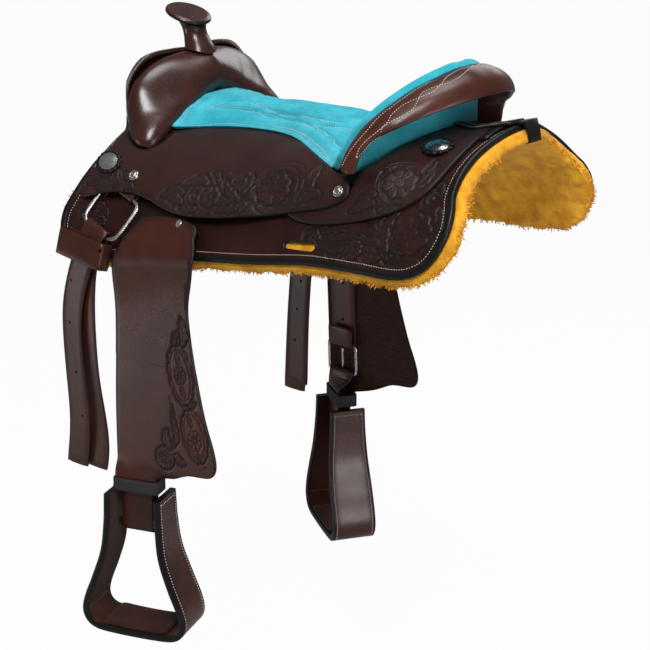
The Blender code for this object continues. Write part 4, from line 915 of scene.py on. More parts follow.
def skirt_pattern():
    bench = Tooling((60, 110), (300, 232))
    bench.flower((253, 180), 25, 9, 0.92, 10)
    bench.cut(bench.round((253, 180), 29.5, 0.92, 10, 0.04, 9)[:-1], 0.8, 0.7, True)
    bench.scroll((262, 138), 15, 40, 1.2)
    bench.scroll((231, 205), 12, 200, -1.1)
    bench.leaf([(226, 150), (214, 168), (219, 190), (228, 204)], 13)
    bench.leaf([(279, 150), (287, 168), (284, 192), (272, 210)], 9, 3)
    bench.leaf([(258, 118), (268, 124), (276, 134)], 9, 3)
    bench.flower((176, 197), 12.5, 8, 0.9)
    bench.leaf([(213, 180), (190, 172), (160, 170), (132, 176), (118, 184)], 15, 6, 7)
    bench.leaf([(125, 188), (112, 178), (104, 180), (101, 188)], 10, 3)
    bench.leaf([(190, 184), (172, 180), (148, 184), (128, 192)], 9, 4)
    bench.leaf([(191, 203), (204, 208), (220, 206)], 10, 3)
    bench.leaf([(160, 204), (150, 208), (141, 203)], 7, 2)
    bench.stem([(226, 212), (210, 196), (196, 190), (150, 193), (124, 193)])
    bench.seeds([(200, 216), (206, 218), (213, 219), (240, 218), (247, 217), (268, 218)], 1.4)
    return bench.finish()


def front_skirt_pattern():
    bench = Tooling((-268, 196), (-196, 262))
    bench.scroll((-240, 226), 11, 120, 1.2)
    bench.seeds([(-249, 244), (-243, 240)], 2.8)
    bench.leaf([(-236, 214), (-224, 208), (-210, 212), (-203, 222)], 11, 3)
    bench.leaf([(-232, 236), (-220, 240), (-206, 238)], 11, 3)
    bench.flower((-214, 226), 9, 7)
    return bench.finish(2.2)


class Patterns:
    """Several benches that are sampled as one."""

    def __init__(self, *benches):
        self.benches = benches

    def sample(self, u, v):
        found = [bench.sample(u, v) for bench in self.benches]
        return [sum(part[k] for part in found) for k in (0, 1)]


SKIRT_FINE = ((70, 112, 304, 226), (-268, 196, -196, 262))
skirt_tooling = Patterns(skirt_pattern(), front_skirt_pattern())
for word, side in SIDES:
    lay = on_form(lambda u, v: 0.0, SKIRT_LEATHER, side)
    stand_for(cut_sheet("skirt_leather_" + word, skirt_outline, lay, skirt_leather, SKIRT_FINE, [SLOT],
                        tooling=skirt_tooling), "skirt_" + word)

# %% [markdown]
# ## Binding and its seam
# A black leather strip is folded over each skirt's edge and stitched through. It is lofted along the edge from a
# rounded profile. The white seam runs just inside it.

# %% Bindings and skirt seams
BINDING = [(-6.6, 4.95), (-5.4, 6.0), (-3.5, 6.45), (-1.2, 6.5), (0.8, 5.9), (1.8, 4.6), (2.05, 2.8), (1.9, 1.0),
           (1.2, 0.1), (0.45, 0.0), (0.42, 2.5), (0.42, 4.85), (-3.0, 4.92)]
SEAM_INSET = 10.0
edge_line = walk(skirt_edge, 4.0)
edge_out = left_of(edge_line)
edge_out[0], edge_out[-1] = (-1, 0), (1, 0)
seam = walk((edge_line - edge_out * SEAM_INSET)[3:-4], 2.0)
for word, side in SIDES:
    rings = [form(edge_line[:, 0] + edge_out[:, 0] * e, edge_line[:, 1] + edge_out[:, 1] * e, n, side)
             for e, n in BINDING]
    binding = new_mesh("binding_roll_" + word, np.stack(rings, axis=1).reshape(-1, 3),
                       tube(len(edge_line), len(BINDING)), black_leather, 60.0)
    stand_for(binding, "skirt_binding_" + word)
    ways = form_normal(seam[:, 0], seam[:, 1]) * (1, side, 1)
    sew("skirt_seam_" + word, "saddle", [(form(seam[:, 0], seam[:, 1], SKIRT_LEATHER, side), ways)])

# %% [markdown]
# ## Jockeys
# The jockeys are the dark upper leathers. The seat jockey wraps round the foot of the fork, flares over the dee in
# front, and carries a floral band along its lower edge. The rear jockey lies under it and behind the cantle.

# %% Jockey patterns
NOTCH = [(-241.1, 95.6), (-234.8, 109.0), (-229.1, 116.3), (-219.1, 123.7), (-211.3, 127.0), (-205.6, 129.0),
         (-198.9, 130.1), (-191.7, 129.8), (-185.0, 128.1), (-179.8, 125.0), (-176.4, 119.2), (-174.3, 113.7),
         (-173.0, 102.1), (-174.4, 93.5)]
PAD_LINE = [(-179, 86), (-176, 86), (-172, 85), (-168, 83), (-162, 79), (-147, 69), (-122, 59), (-90, 50.5),
            (-60, 47), (-30, 48), (0, 54), (25, 65), (50, 79), (75, 92), (98, 103), (118, 112)]
JOCKEY_FOOT = [(148, 124), (154, 133), (150, 143), (126, 153), (72, 162), (-4, 179), (-51, 187), (-86, 190),
               (-115, 188), (-138, 184), (-170, 183), (-205, 192), (-240, 206), (-252, 206), (-256, 196)]
JOCKEY_FRONT = [(-256, 196), (-251, 165), (-248, 140), (-247, 118), (-251, 104), (-262, 88), (-268, 78)]
REAR_JOCKEY_FOOT = [(60, 158), (72, 164), (88, 168.5), (112, 170.5), (150, 168), (197, 161), (230, 150),
                    (250, 136), (261, 116), (267, 90), (269, 50), (266, 20), (262, 0.6)]
REAR_JOCKEY_INNER = [(210.0, 0.6), (206.6, 25.2), (197.1, 50.6), (183.2, 75.1), (167.3, 96.6), (157.0, 108.8),
                     (152, 136), (110, 144), (60, 150)]


def jockey_pattern():
    bench = Tooling((-130, 100), (124, 192))
    bench.flower((41, 140), 23, 9, 0.72, -12)
    bench.cut(bench.round((41, 140), 28, 0.74, -12, 0.0, 9, 160, 395), 0.9, 0.75)
    bench.cut(bench.round((43, 138), 33, 0.76, -12, 0.0, 9, 175, 380), 0.9, 0.75)
    bench.cut(bench.round((45, 136), 39, 0.76, -12, 0.0, 9, 185, 370), 0.9, 0.75)
    bench.leaf([(84, 146), (92, 134), (96, 122), (99, 109)], 12, 3)
    bench.leaf([(80, 148), (96, 142), (106, 140), (117, 141)], 12, 3)
    bench.flower((-47, 162), 14, 7, 0.85)
    bench.flower((-12, 141), 10.5, 8, 0.85)
    bench.leaf([(0, 160), (-14, 156), (-26, 150), (-38, 138)], 11, 4)
    bench.leaf([(4, 164), (-6, 170), (-20, 173), (-32, 178)], 9, 3)
    bench.leaf([(-2, 152), (2, 136), (-4, 124)], 8, 3)
    bench.leaf([(10, 158), (6, 166), (-2, 174)], 8, 2)
    bench.leaf([(22, 160), (40, 164), (62, 160), (84, 153)], 9, 4)
    bench.leaf([(-34, 168), (-20, 164), (-8, 160)], 8, 3)
    bench.scroll((-72, 166), 13, 20, 1.2, 0.95)
    bench.leaf([(-58, 150), (-70, 146), (-84, 150), (-96, 160)], 12, 4)
    bench.leaf([(-84, 176), (-98, 174), (-112, 172), (-124, 178)], 11, 4)
    bench.leaf([(-88, 166), (-102, 164), (-118, 168)], 8, 3)
    bench.leaf([(-60, 178), (-72, 182), (-88, 184)], 8, 3)
    bench.leaf([(-44, 144), (-52, 136), (-62, 134)], 7, 2)
    bench.stem([(18, 160), (4, 158), (-14, 162), (-32, 156)])
    bench.seeds([(-24, 132), (-29, 130), (-34, 129), (-76, 140), (-82, 142), (60, 166), (67, 164), (-44, 182)], 1.3)
    return bench.finish()


def corner_pattern():
    bench = Tooling((-256, 152), (-160, 204))
    for tip, width in (((-250, 193), 9), ((-240, 186), 8), ((-226, 166), 9), ((-205, 161), 9)):
        root = (-196, 184)
        middle = ((tip[0] + root[0]) / 2 - 3, (tip[1] + root[1]) / 2 - 3)
        bench.leaf([root, middle, tip], width, 3, 4)
    bench.leaf([(-168, 176), (-184, 178), (-202, 184), (-222, 196)], 12, 3)
    bench.leaf([(-172, 172), (-186, 168), (-198, 164)], 8, 2)
    bench.leaf([(-205, 190), (-218, 192), (-232, 190)], 8, 3)
    bench.cut([(-166, 175), (-180, 168), (-196, 160)], 0.9, 0.7)
    bench.cut([(-166, 175), (-180, 186), (-200, 195), (-216, 199)], 0.9, 0.7)
    return bench.finish(1.6)


def rear_jockey_pattern():
    bench = Tooling((146, 78), (262, 162))
    bench.flower((214, 121), 19, 8, 0.95, 35)
    bench.cut(bench.round((214, 121), 23.5, 0.95, 35, 0.03, 8)[:-1], 0.8, 0.7, True)
    bench.cut(bench.round((214, 121), 27, 0.98, 35, 0.0, 8, 20, 250), 0.9, 0.7)
    bench.leaf([(193, 146), (180, 146), (168, 150), (156, 156)], 12, 4)
    bench.leaf([(192, 138), (182, 136), (172, 140), (163, 146)], 9, 3)
    bench.leaf([(236, 104), (240, 92), (236, 82)], 9, 3)
    bench.leaf([(240, 126), (246, 116), (250, 102)], 9, 3)
    bench.leaf([(196, 152), (210, 154), (226, 148)], 8, 3)
    bench.scroll((190, 116), 9, 200, 1.0)
    return bench.finish()


# %% Seat and rear jockeys
jockey_tooling = Patterns(jockey_pattern(), corner_pattern())
jockey_outline = np.vstack([np.array(PAD_LINE) + (0, 1.0), [(134, 119)], through(JOCKEY_FOOT, 5)[:-1],
                            through(JOCKEY_FRONT, 5), NOTCH])
rear_outline = np.vstack([through(REAR_JOCKEY_FOOT, 5), REAR_JOCKEY_INNER])
rear_tooling = rear_jockey_pattern()
for word, side in SIDES:
    lay = on_form(seat_jockey_height, JOCKEY_LEATHER, side)
    stand_for(cut_sheet("seat_leather_" + word, jockey_outline, lay, jockey_leather,
                        ((-130, 100, 124, 192), (-256, 152, -160, 204)), coarse=7.0, tooling=jockey_tooling),
              "seat_jockey_" + word)
    lay = on_form(rear_jockey_height, JOCKEY_LEATHER, side)
    stand_for(cut_sheet("rear_leather_" + word, rear_outline, lay, jockey_leather, ((146, 78, 262, 162),),
                        coarse=7.0, tooling=rear_tooling), "rear_jockey_" + word)

# %% [markdown]
# ## Fenders
# A fender hangs from under the jockey, flat at the top, and twists at its narrow neck to face the stirrup forward.
# It is drawn flat and hung on the same curve as the CAD node. Its rear edge carries a long tooled panel: two ovals,
# a spear of leaves above them and a pinwheel flower below.

# %% The hang of a fender
FENDER_X, STRAP_X, FENDER_FOOT_Y = -107.0, -138.0, 218.0
SKIRT_FOOT_Z, UPRIGHT_Z = -260.0, -200.0
STIRRUP_TWIST = {-1: 19.0, 1: 33.0}
FLARE, TWIST_TOP, TWIST_FOOT = 3.0, -398.0, -423.0
FENDER_LIFT = SKIRT_LEATHER + 2.0 + STRAP_LEATHER + 1.3 + FENDER_LEATHER / 2
NECK_U = STRAP_X - FENDER_X
FENDER_LINE = through([(-66, 170.5), (-86, 186), (-106, 193), (-130, 198), (-180, 203), (-300, 211),
                       (-470, FENDER_FOOT_Y)], 4)
FENDER = [(-32, -79), (-44, -96), (-58, -122), (-63, -150), (-64, -191), (-64, -260), (-64, -330), (-62, -395),
          (-60, -428), (-60, -441), (-2, -441), (-2, -423), (10, -416), (32, -409), (58, -397), (86, -393),
          (99, -388), (104, -374), (99, -352), (85, -316), (69, -259), (58, -210), (54, -175), (60, -138),
          (64, -110), (58, -90), (50, -77), (10, -73)]


def fender_y(z):
    return np.interp(-z, -FENDER_LINE[:, 0], FENDER_LINE[:, 1])


def flank_y(x, z):
    """How far out a fender's middle must lie to clear the skirt and its binding."""
    foot = np.interp(x, [p[0] for p in SKIRT_FOOT], [p[1] for p in SKIRT_FOOT])

    def outer(t):
        return form(x, t, FENDER_LIFT + 4.2 * ease((t - foot + 34) / 14))
    low, high = np.full(np.shape(x), 100.0), foot + 6
    edge = outer(high)
    for _ in range(16):
        middle = (low + high) / 2
        above = outer(middle)[:, 2] > z
        low, high = np.where(above, middle, low), np.where(above, high, middle)
    return np.where(z <= edge[:, 2], edge[:, 1] - 0.15 * (edge[:, 2] - z), outer(low)[:, 1])


def hang(u, z, side):
    r = u - NECK_U
    share = ease((TWIST_TOP - z) / (TWIST_TOP - TWIST_FOOT)) * (1 - ease((np.abs(r) - 34) / 60))
    angle = np.radians(mix(FLARE, STIRRUP_TWIST[side], share))
    x, y = STRAP_X + r * np.cos(angle), fender_y(z) - r * np.sin(angle)
    clear = np.where(z > SKIRT_FOOT_Z, flank_y(x, np.maximum(z, SKIRT_FOOT_Z - 2)), 0.0)
    return np.stack([x, (y + clear + np.hypot(y - clear, 6.0)) / 2, z], axis=-1)


def hung(u, z, depth, side):
    """Points of the hung parts: depth runs inward from the fender's middle."""
    u, z = np.asarray(u, float), np.asarray(z, float)
    point = hang(u, z, side)
    inward = unit(np.cross(hang(u + 2, z, side) - hang(u - 2, z, side), hang(u, z - 2, side) - hang(u, z + 2, side)))
    inward = np.where(inward[:, 1:2] > 0, -inward, inward)
    inward = np.where((z < UPRIGHT_Z)[:, None], unit(inward * (1, 1, 0)), inward)
    return (point + inward * np.asarray(depth, float)[..., None]) * (1, side, 1)


def fender_pattern():
    bench = Tooling((0, -400), (110, -180))
    bench.pinwheel((21, -381), 15.5)
    bench.leaf([(30, -368), (24, -358), (22, -348), (27, -340)], 12, 3)
    bench.leaf([(38, -372), (46, -380), (56, -383)], 10, 3)
    bench.leaf([(34, -366), (40, -352), (38, -338), (34, -322), (33, -308)], 7, 5)
    bench.shape(bench.round((70, -341), 34, 0.56, 108, 0.05, 12)[:-1])
    bench.cut(bench.round((70, -341), 29, 0.52, 108)[:-1], 0.8, 0.7, True)
    bench.flower((71, -346), 13, 8, 0.8, 100)
    bench.leaf([(66, -330), (62, -322), (60, -314)], 7, 2)
    bench.leaf([(76, -362), (80, -370), (82, -374)], 6, 2)
    bench.shape(bench.round((46, -266), 38, 0.50, 104, 0.05, 12)[:-1])
    bench.cut(bench.round((46, -266), 33, 0.46, 104)[:-1], 0.8, 0.7, True)
    bench.flower((46, -266), 11, 8, 0.8, 95)
    bench.leaf([(44, -252), (41, -244), (39, -236)], 7, 2)
    bench.leaf([(48, -280), (52, -288), (54, -296)], 7, 2)
    bench.leaf([(48, -228), (50, -214), (47, -202), (44, -190)], 12, 4)
    bench.leaf([(34, -230), (36, -218), (41, -208)], 7, 2)
    bench.leaf([(58, -304), (66, -300), (72, -296)], 7, 2)
    bench.seeds([(29, -300), (31, -306), (90, -356), (93, -364), (88, -378), (80, -384)], 1.3)
    return bench.finish(2.6)


# %% Fenders
fender_tooling = fender_pattern()
for word, side in SIDES:
    def lay(u, v, top, sink, side=side):
        half = FENDER_LEATHER / 2
        return hung(u, v, (sink - half) if top else np.full(len(u), half), side)
    fender = cut_sheet("fender_leather_" + word, through(FENDER + FENDER[:1], 3)[:-1], lay, fender_leather,
                       ((0, -400, 110, -180),), coarse=7.0, tooling=fender_tooling, rounding=0.8)
    fender.data.materials.append(flesh)
    half_count = len(fender.data.vertices) // 2
    for face in fender.data.polygons:
        if all(index >= half_count for index in face.vertices):
            face.material_index = 1
    stand_for(fender, "fender_" + word)

# %% [markdown]
# ## Fork, horn, roll and hung straps
# These are formed or folded pieces, so each is a rounded copy of its node. Wet leather is drawn over the fork in two
# pieces that meet in a doubled seam down the front. The horn is wrapped, and its cap is rimmed with a laced binding.

# %% Rounded copies
fork_dome = copy_of("fork_cover", fork_leather, 2, crease=0.6)
fork_inner = copy_of("fork_core", wood, 0)
fork_front = copy_of("fork_front_cover", front_leather, 2, crease=0.6)
copy_of("horn_neck", fork_leather, 2)
cap_skin = copy_of("horn_cap", fork_leather, 2, sharp=30, crease=0.3)
copy_of("cantle_back_panel", turquoise_suede, 2)
roll = copy_of("cantle_roll", roll_leather, 3, sharp=60, crease=0.45)
copy_of("rear_tie", black_leather, 1, crease=0.8)
for word, _ in SIDES:
    copy_of("rigging_strap_" + word, strap_leather, 2, crease=0.8)
    copy_of("stirrup_leather_" + word, strap_leather, 2, crease=0.85)
    copy_of("stirrup_loop_" + word, strap_leather, 2, crease=0.85)
    copy_of("hobble_band_" + word, webbing, 2, crease=0.85)
    copy_of("leather_buckle_" + word, steel, 2)
    copy_of("buckle_tongue_" + word, steel, 2)
    copy_of("dee_ring_" + word, steel, 2)
    copy_of("stirrup_bolt_" + word, steel, 1)
    copy_of("stirrup_tread_" + word, red_suede, 2, crease=0.5)
latigo = copy_of("latigo_left", strap_leather, 2, crease=0.85)
latigo_band = copy_of("latigo_turn_left", strap_leather, 2, crease=0.85)
billet = copy_of("off_billet_right", strap_leather, 2, crease=0.85)

# %% Inside pieces keep their nodes
for name, finish in (("tree_bar_left", wood), ("tree_bar_right", wood), ("tree_seat", wood),
                     ("hanger_strap_left", strap_leather), ("hanger_strap_right", strap_leather)):
    nodes[name].data.materials.clear()
    nodes[name].data.materials.append(finish)
    print(name, finish.name)

# %% [markdown]
# The fork's swell is fullest at its shoulders, and it narrows behind towards the seat. The front leather stands a
# little proud of the dome. The copies are drawn to that section: each point's distance from the fork's middle is
# scaled by a table over its angle, one table for the front edge and one for the rear edge.

# %% Fork section
DOME_FRONT = [(-12, 1.02), (0, 0.99), (9, 0.95), (19, 0.99), (31, 1.05), (42, 1.05), (58, 1.04), (75, 1.02),
              (90, 1.0)]
DOME_REAR = [(-12, 1.02), (0, 1.0), (16, 0.84), (33, 0.76), (47, 0.76), (71, 0.88), (90, 1.0)]
EDGE_FRONT = [(-12, 1.02), (3, 1.0), (14, 1.0), (20, 1.03), (27, 1.12), (34, 1.19), (42, 1.24), (48, 1.26),
              (58, 1.23), (70, 1.18), (90, 1.14)]
DOME_X, EDGE_X = (-232, -178), (-240, -226)


def fork_section(obj, front, rear, first, last):
    """Scales a copy about the fork's middle line, from the front table at x = first to the rear one at x = last."""
    places, _ = mesh_arrays(obj)
    angle = np.degrees(np.arctan2(places[:, 2], np.abs(places[:, 1])))
    share = ease((places[:, 0] - first) / (last - first))
    scale = mix(np.interp(angle, *zip(*front)), np.interp(angle, *zip(*rear)), share)
    moved(obj, places * np.stack([np.ones(len(scale)), scale, scale], axis=1))


for piece in (fork_dome, fork_inner, fork_front):
    fork_section(piece, DOME_FRONT, DOME_REAR, *DOME_X)
past_dome = [(angle, scale / np.interp(angle, *zip(*DOME_FRONT))) for angle, scale in EDGE_FRONT]
fork_section(fork_front, past_dome, [(angle, 1.0) for angle, _ in EDGE_FRONT], *EDGE_X)
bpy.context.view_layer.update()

# %% [markdown]
# ## Seat pad
# The seat is foam under turquoise suede, with sewn channels. A real one is sewn flat through a foam sheet and then
# pulled over the ground seat. The CAD pad has its outline and crown. Its copy is rounded finely, the foam swells
# between the channels and is pressed in along them, painted shade darkens the suede in the pressed grooves, and the
# rows of thread are sewn last.

# %% Rows on the near half of the pad, in millimetres
HEM = [(-174, -39, 41), (-173, -56, 36), (-171, -71, 28), (-170, -80, 21), (-166, -84, 17), (-150, -77, 16),
       (-136, -69, 18), (-120, -62, 20), (-103, -56, 22), (-79, -52, 23), (-56, -52, 24), (-33, -52, 25),
       (-11, -55, 25), (10, -62, 25), (37, -76, 23), (63, -90, 20), (83, -101, 17), (101, -110, 14)]
HEM_DOUBLE = [(-42, -49, 26), (-24, -49, 27), (-1, -54, 27), (24, -63, 26), (50, -77, 24), (74, -90, 21),
              (88, -101, 18), (99, -108, 16)]
CHANNELS = [
    [(-151, -48, 34), (-149, -36, 38), (-142, -26, 40), (-129, -18, 41), (-111, -17, 42), (-89, -21, 42),
     (-66, -27, 40), (-49, -29, 39), (-31, -29, 39), (-7, -30, 42), (14, -32, 42), (35, -35, 42), (60, -33, 44)],
    [(-156, -51, 34), (-143, -40, 35), (-122, -35, 36), (-99, -32, 37), (-78, -35, 36), (-53, -37, 35),
     (-29, -39, 35), (-2, -42, 36), (17, -47, 36), (36, -54, 35), (60, -65, 33), (84, -79, 29), (101, -88, 26)],
    [(-102, -17, 42), (-85, -10, 43), (-69, -6, 43), (-50, -4, 44), (-10, -7, 44), (30, -10, 44), (70, -9, 48)],
    [(21, -45, 37), (32, -45, 38), (47, -46, 39), (65, -45, 42), (90, -46, 48), (118, -52, 58), (138, -58, 74)],
]


def far_from(places, lines):
    """Distance of places from a set of lines in space."""
    best = np.full(len(places), 1e9)
    for line in lines:
        line = np.asarray(line, float)
        for a, b in zip(line, line[1:]):
            d = b - a
            share = np.clip((places - a) @ d / max(d @ d, 1e-9), 0, 1)[:, None]
            best = np.minimum(best, np.linalg.norm(places - a - share * d, axis=1))
    return best


def lumps(places, size, seed=0.0):
    return np.array([noise.noise(Vector(p) / size + Vector((seed, seed, seed))) for p in places])


pad = copy_of("seat_pad", turquoise_suede, 3, crease=0.5, angle=70.0)
channel_lines = CHANNELS + [mirrored(line) for line in CHANNELS]
channel_rows = [run_on(pad, line, 3) for line in channel_lines]
hem_lines = (HEM, mirrored(HEM), HEM_DOUBLE, mirrored(HEM_DOUBLE))
hem_rows = [run_on(pad, line, 3) for line in hem_lines]
places, ways = mesh_arrays(pad)
to_seam = far_from(places, [row[0] for row in channel_rows])
to_hem = far_from(places, [row[0] for row in hem_rows])
upper = ease((ways[:, 2] + 0.1) / 0.4) * ease((places[:, 0] + 200) / 25)
swelling = 2.6 * ease(to_seam / 13.0) * ease((to_hem - 1.5) / 10.0) - 2.3 * np.exp(-(to_seam / 2.6) ** 2)
calm = ease((118 - places[:, 2]) / 40)
swelling += -0.7 * np.exp(-(to_hem / 2.0) ** 2) + calm * (0.5 * lumps(places, 26.0) + 0.2 * lumps(places, 9.0, 5.0))
moved(pad, places + ways * (swelling * upper)[:, None])
# Painted shade: the suede is darkened in the pressed grooves along the channels and the hem.
paint(pad, "stain", np.exp(-(np.minimum(to_seam, to_hem) / 1.6) ** 2) * 0.9)
sew("pad_seams", "saddle", [snapped(pad, row[0]) for row in channel_rows + hem_rows], pitch=3.6, radius=0.52)

# %% [markdown]
# ## Cantle roll
# The roll is a leather tube stuffed over the cantle's rim. A row of thread runs near its front edge, and two
# waving rows cross each other along its middle, which is the usual western pattern.

# %% Rows on the roll
ROLL_EDGE = [(146, -146, 24), (149, -145, 29), (156, -142, 42), (164, -137, 56), (171, -129, 68), (177, -115, 81),
             (184, -104, 92), (189, -92, 101), (194, -78, 108), (198, -60, 115), (201, -40, 120), (203, -20, 122),
             (204, 0, 123)]
ROLL_WAVES = [
    [(167, -144, 36), (168, -143, 43), (171, -140, 51), (177, -134, 59), (183, -128, 65), (188, -122, 71),
     (195, -115, 77), (201, -108, 81), (207, -100, 86), (211, -93, 92), (211, -86, 101), (210, -78, 107),
     (213, -72, 109), (219, -63, 112), (223, -58, 113), (228, -49, 115), (231, -37, 118), (231, -25, 121),
     (229, -12, 123), (225, 0, 124)],
    [(167, -144, 36), (173, -140, 41), (179, -135, 48), (184, -129, 56), (186, -123, 65), (188, -122, 71),
     (192, -117, 77), (192, -112, 84), (195, -106, 90), (199, -98, 96), (205, -91, 99), (211, -85, 102),
     (216, -77, 104), (220, -71, 107), (221, -65, 110), (222, -58, 114), (220, -48, 119), (220, -38, 122),
     (222, -25, 124), (225, -12, 124), (229, 0, 123)],
]
WIDER = 0.42
places, ways = mesh_arrays(roll)
# The stuffing swells the roll backwards and down from its front edge.
front_line = walk(np.vstack([through(ROLL_EDGE, 4), through(mirrored(ROLL_EDGE), 4)[::-1][1:]]), 1.0)
nearest = np.array([front_line[np.argmin(((front_line - place) ** 2).sum(axis=1))] for place in places])
swell = 1 + WIDER * ease((138 - np.abs(places[:, 1])) / 30) * ease((places[:, 2] - 20) / 25)
moved(roll, nearest + (places - nearest) * swell[:, None])
roll_runs = [run_on(roll, part, pitch=2.0) for line in (ROLL_EDGE, *ROLL_WAVES) for part in (line, mirrored(line))]
sew("roll_seams", "saddle", roll_runs, pitch=3.2, radius=0.50)
places, ways = mesh_arrays(roll)
to_seam = far_from(places, [run[0] for run in roll_runs[:2]])
crease_lines = 0.5 * lumps(places * (1.0, 0.35, 1.0), 7.0) * ease((places[:, 1] - 60) / 30)
relief = 0.35 * lumps(places, 22.0) + crease_lines - 0.4 * np.exp(-(to_seam / 1.4) ** 2)
moved(roll, places + ways * relief[:, None])

# %% [markdown]
# ## Fleece lining
# Under the skirts lies a woollen fleece. Its pile is several millimetres deep and clumps into lumps, and locks
# stick out round the rim. The copy is swelled with three sizes of noise on the sides that can be seen, and
# small curved locks are planted on the rim and underside.

# %% Pile and locks
fleece = copy_of("fleece_lining", fleece_wool, 2, crease=0.3, angle=80.0)
places, ways = mesh_arrays(fleece)
outward = unit(places * (0.0, 1.0, 1.0) + (0.0, 0.0, 150.0))
under = ease((0.35 - (ways * outward).sum(axis=1)) / 0.5)
pile = 1.6 + 3.2 * (0.5 + lumps(places, 17.0)) + 1.8 * lumps(places, 7.0, 3.0) + 0.9 * lumps(places, 3.5, 9.0)
moved(fleece, places + ways * (under * np.clip(pile, 0.2, 6.0))[:, None])
places, ways = mesh_arrays(fleece)
LOCK_RADII = (1.0, 0.9, 0.65, 0.2)
LOCK_SIDES = 4
rng = np.random.default_rng(4)
rim = under * (1 - ease((np.abs((ways * outward).sum(axis=1)) - 0.45) / 0.3))
points, faces = [], []
for weight, count, long in ((rim, 3600, 4.2), (under, 900, 2.4)):
    weight = weight * (weight > 0.3) * ((places[:, 0] < 235) | (np.abs(places[:, 1]) > 45))
    for index in rng.choice(len(places), count, p=weight / weight.sum()):
        way = ways[index] + rng.normal(0, 0.28, 3) + (0, 0, -0.15)
        way /= np.linalg.norm(way)
        bend = rng.normal(0, 0.5, 3)
        side = np.cross(way, bend)
        side /= np.linalg.norm(side)
        other = np.cross(way, side)
        length, wide = long * rng.uniform(0.6, 1.1), rng.uniform(0.55, 1.0)
        foot = places[index] + rng.normal(0, 1.2, 3) - ways[index] * 1.2
        faces += tube(len(LOCK_RADII), LOCK_SIDES, len(points))
        for ring, radius in enumerate(LOCK_RADII):
            share = ring / 3
            core = foot + way * length * share + bend * length * 0.45 * share ** 2
            for corner in range(LOCK_SIDES):
                angle = 2 * math.pi * corner / LOCK_SIDES
                points.append(core + (side * math.cos(angle) + other * math.sin(angle)) * wide * radius)
stand_for(new_mesh("fleece_locks", points, faces, fleece_wool, 90.0), body="saddle")
print("fleece faces", len(fleece.data.polygons), "locks", len(points) // (len(LOCK_RADII) * LOCK_SIDES))

# %% [markdown]
# ## Stirrups
# A western stirrup is a steamed wooden loop covered in leather. The outer plates are smooth leather sewn down both
# edges and across the top, the rims are bound in black, and the inner faces are suede. Here one cross-section runs
# along the loop's middle line, with the three leathers on its sides.

# %% Loops with three leathers
STIRRUP_LINE = [(35.5, 0), (36.2, -20), (37, -40), (41.5, -80), (54.75, -120), (66.5, -150), (70.5, -169.5),
                (65.5, -183.5), (52.5, -191), (28.2, -193), (0, -193.5)]
STIRRUP_PLACES = {
    "left": ((-142.15, -205.986, -446.0), (0.94552, 0.32557, 0.0), (-0.32557, 0.94552, 0.0)),
    "right": ((-144.943, 207.348, -446.0), (0.83867, -0.54464, 0.0), (-0.54464, -0.83867, 0.0)),
}
# Half of the section, as (thickness, depth, leather): the leather is 0 outside, 1 on the rim and 2 inside.
RIM = [(4.5, 0.0, 0), (4.5, 0.55, 0), (4.5, 0.90, 0), (4.0, 0.94, 1), (4.6, 0.965, 1), (3.2, 0.995, 1),
       (0.0, 1.015, 1), (-3.2, 0.995, 1), (-4.6, 0.965, 1), (-4.0, 0.93, 1), (-4.2, 0.90, 2), (-4.2, 0.55, 2),
       (-4.2, 0.0, 2)]
SECTION = RIM + [(thick, -depth, kind) for thick, depth, kind in RIM[::-1][1:-1]]
HEAD_DEPTH, FOOT_DEPTH, CORNER_Z = 51.0, 64.0, -165
half_line = through(STIRRUP_LINE, 5)
loop_line = walk(np.vstack([half_line, (half_line * (-1, 1))[::-1][1:]]), 3.2)
loop_out = left_of(loop_line)
loop_out *= np.sign(loop_out[3] @ (1.0, 0.0))


def stirrup_loop(word):
    head, across, through_way = (np.array(part, float) for part in STIRRUP_PLACES[word])
    body = nodes["stirrup_" + word]["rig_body"]

    def half_depth(row):
        return mix(HEAD_DEPTH, FOOT_DEPTH, ease(-loop_line[row][1] / 140)) / 2

    def at(row, thick, depth):
        """The point of one row that lies thick outside the middle line and depth through the loop."""
        spot = loop_line[row] + loop_out[row] * thick
        return head + across * spot[0] + (0, 0, spot[1]) + through_way * depth

    def out(row):
        return across * loop_out[row][0] + np.array((0, 0, loop_out[row][1]))

    points = [at(row, thick, depth * half_depth(row)) for row in range(len(loop_line)) for thick, depth, _ in SECTION]
    kinds = [1 if 1 in (here[2], there[2]) else here[2] for here, there in zip(SECTION, SECTION[1:] + SECTION[:1])]
    obj = new_mesh("stirrup_covered_" + word, points, tube(len(loop_line), len(SECTION)), stirrup_leather, 60.0)
    obj.data.materials.append(black_leather)
    obj.data.materials.append(red_suede)
    obj.data.polygons.foreach_set("material_index", kinds * (len(loop_line) - 1) + [1, 1])
    stand_for(obj, "stirrup_" + word)

    long_rows = range(1, len(loop_line) - 1)
    runs = [(np.array([at(row, 4.5, side * (half_depth(row) - 5.0)) for row in long_rows]),
             np.array([out(row) for row in long_rows])) for side in (1, -1)]
    for row in (2, len(loop_line) - 3):
        places = np.array([at(row, 4.5, (half_depth(row) - 4.6) * share) for share in np.linspace(-1, 1, 14)])
        runs.append((places, np.tile(out(row), (14, 1))))
    sew("stirrup_seams_" + word, body, runs, pitch=3.9, share=0.62, radius=0.55)
    low = [row for row, (_, z) in enumerate(loop_line) if z < CORNER_Z]
    inner = [(np.array([at(row, -4.2, 29 * share) for share in np.linspace(-1, 1, 12)]),
              np.tile(-out(row), (12, 1))) for row in (low[0], low[-1])]
    sew("stirrup_corner_" + word, body, inner, orange_thread, 4.2, 0.9, 0.45)
    print(obj.name, "faces", len(obj.data.polygons))


for word in STIRRUP_PLACES:
    stirrup_loop(word)

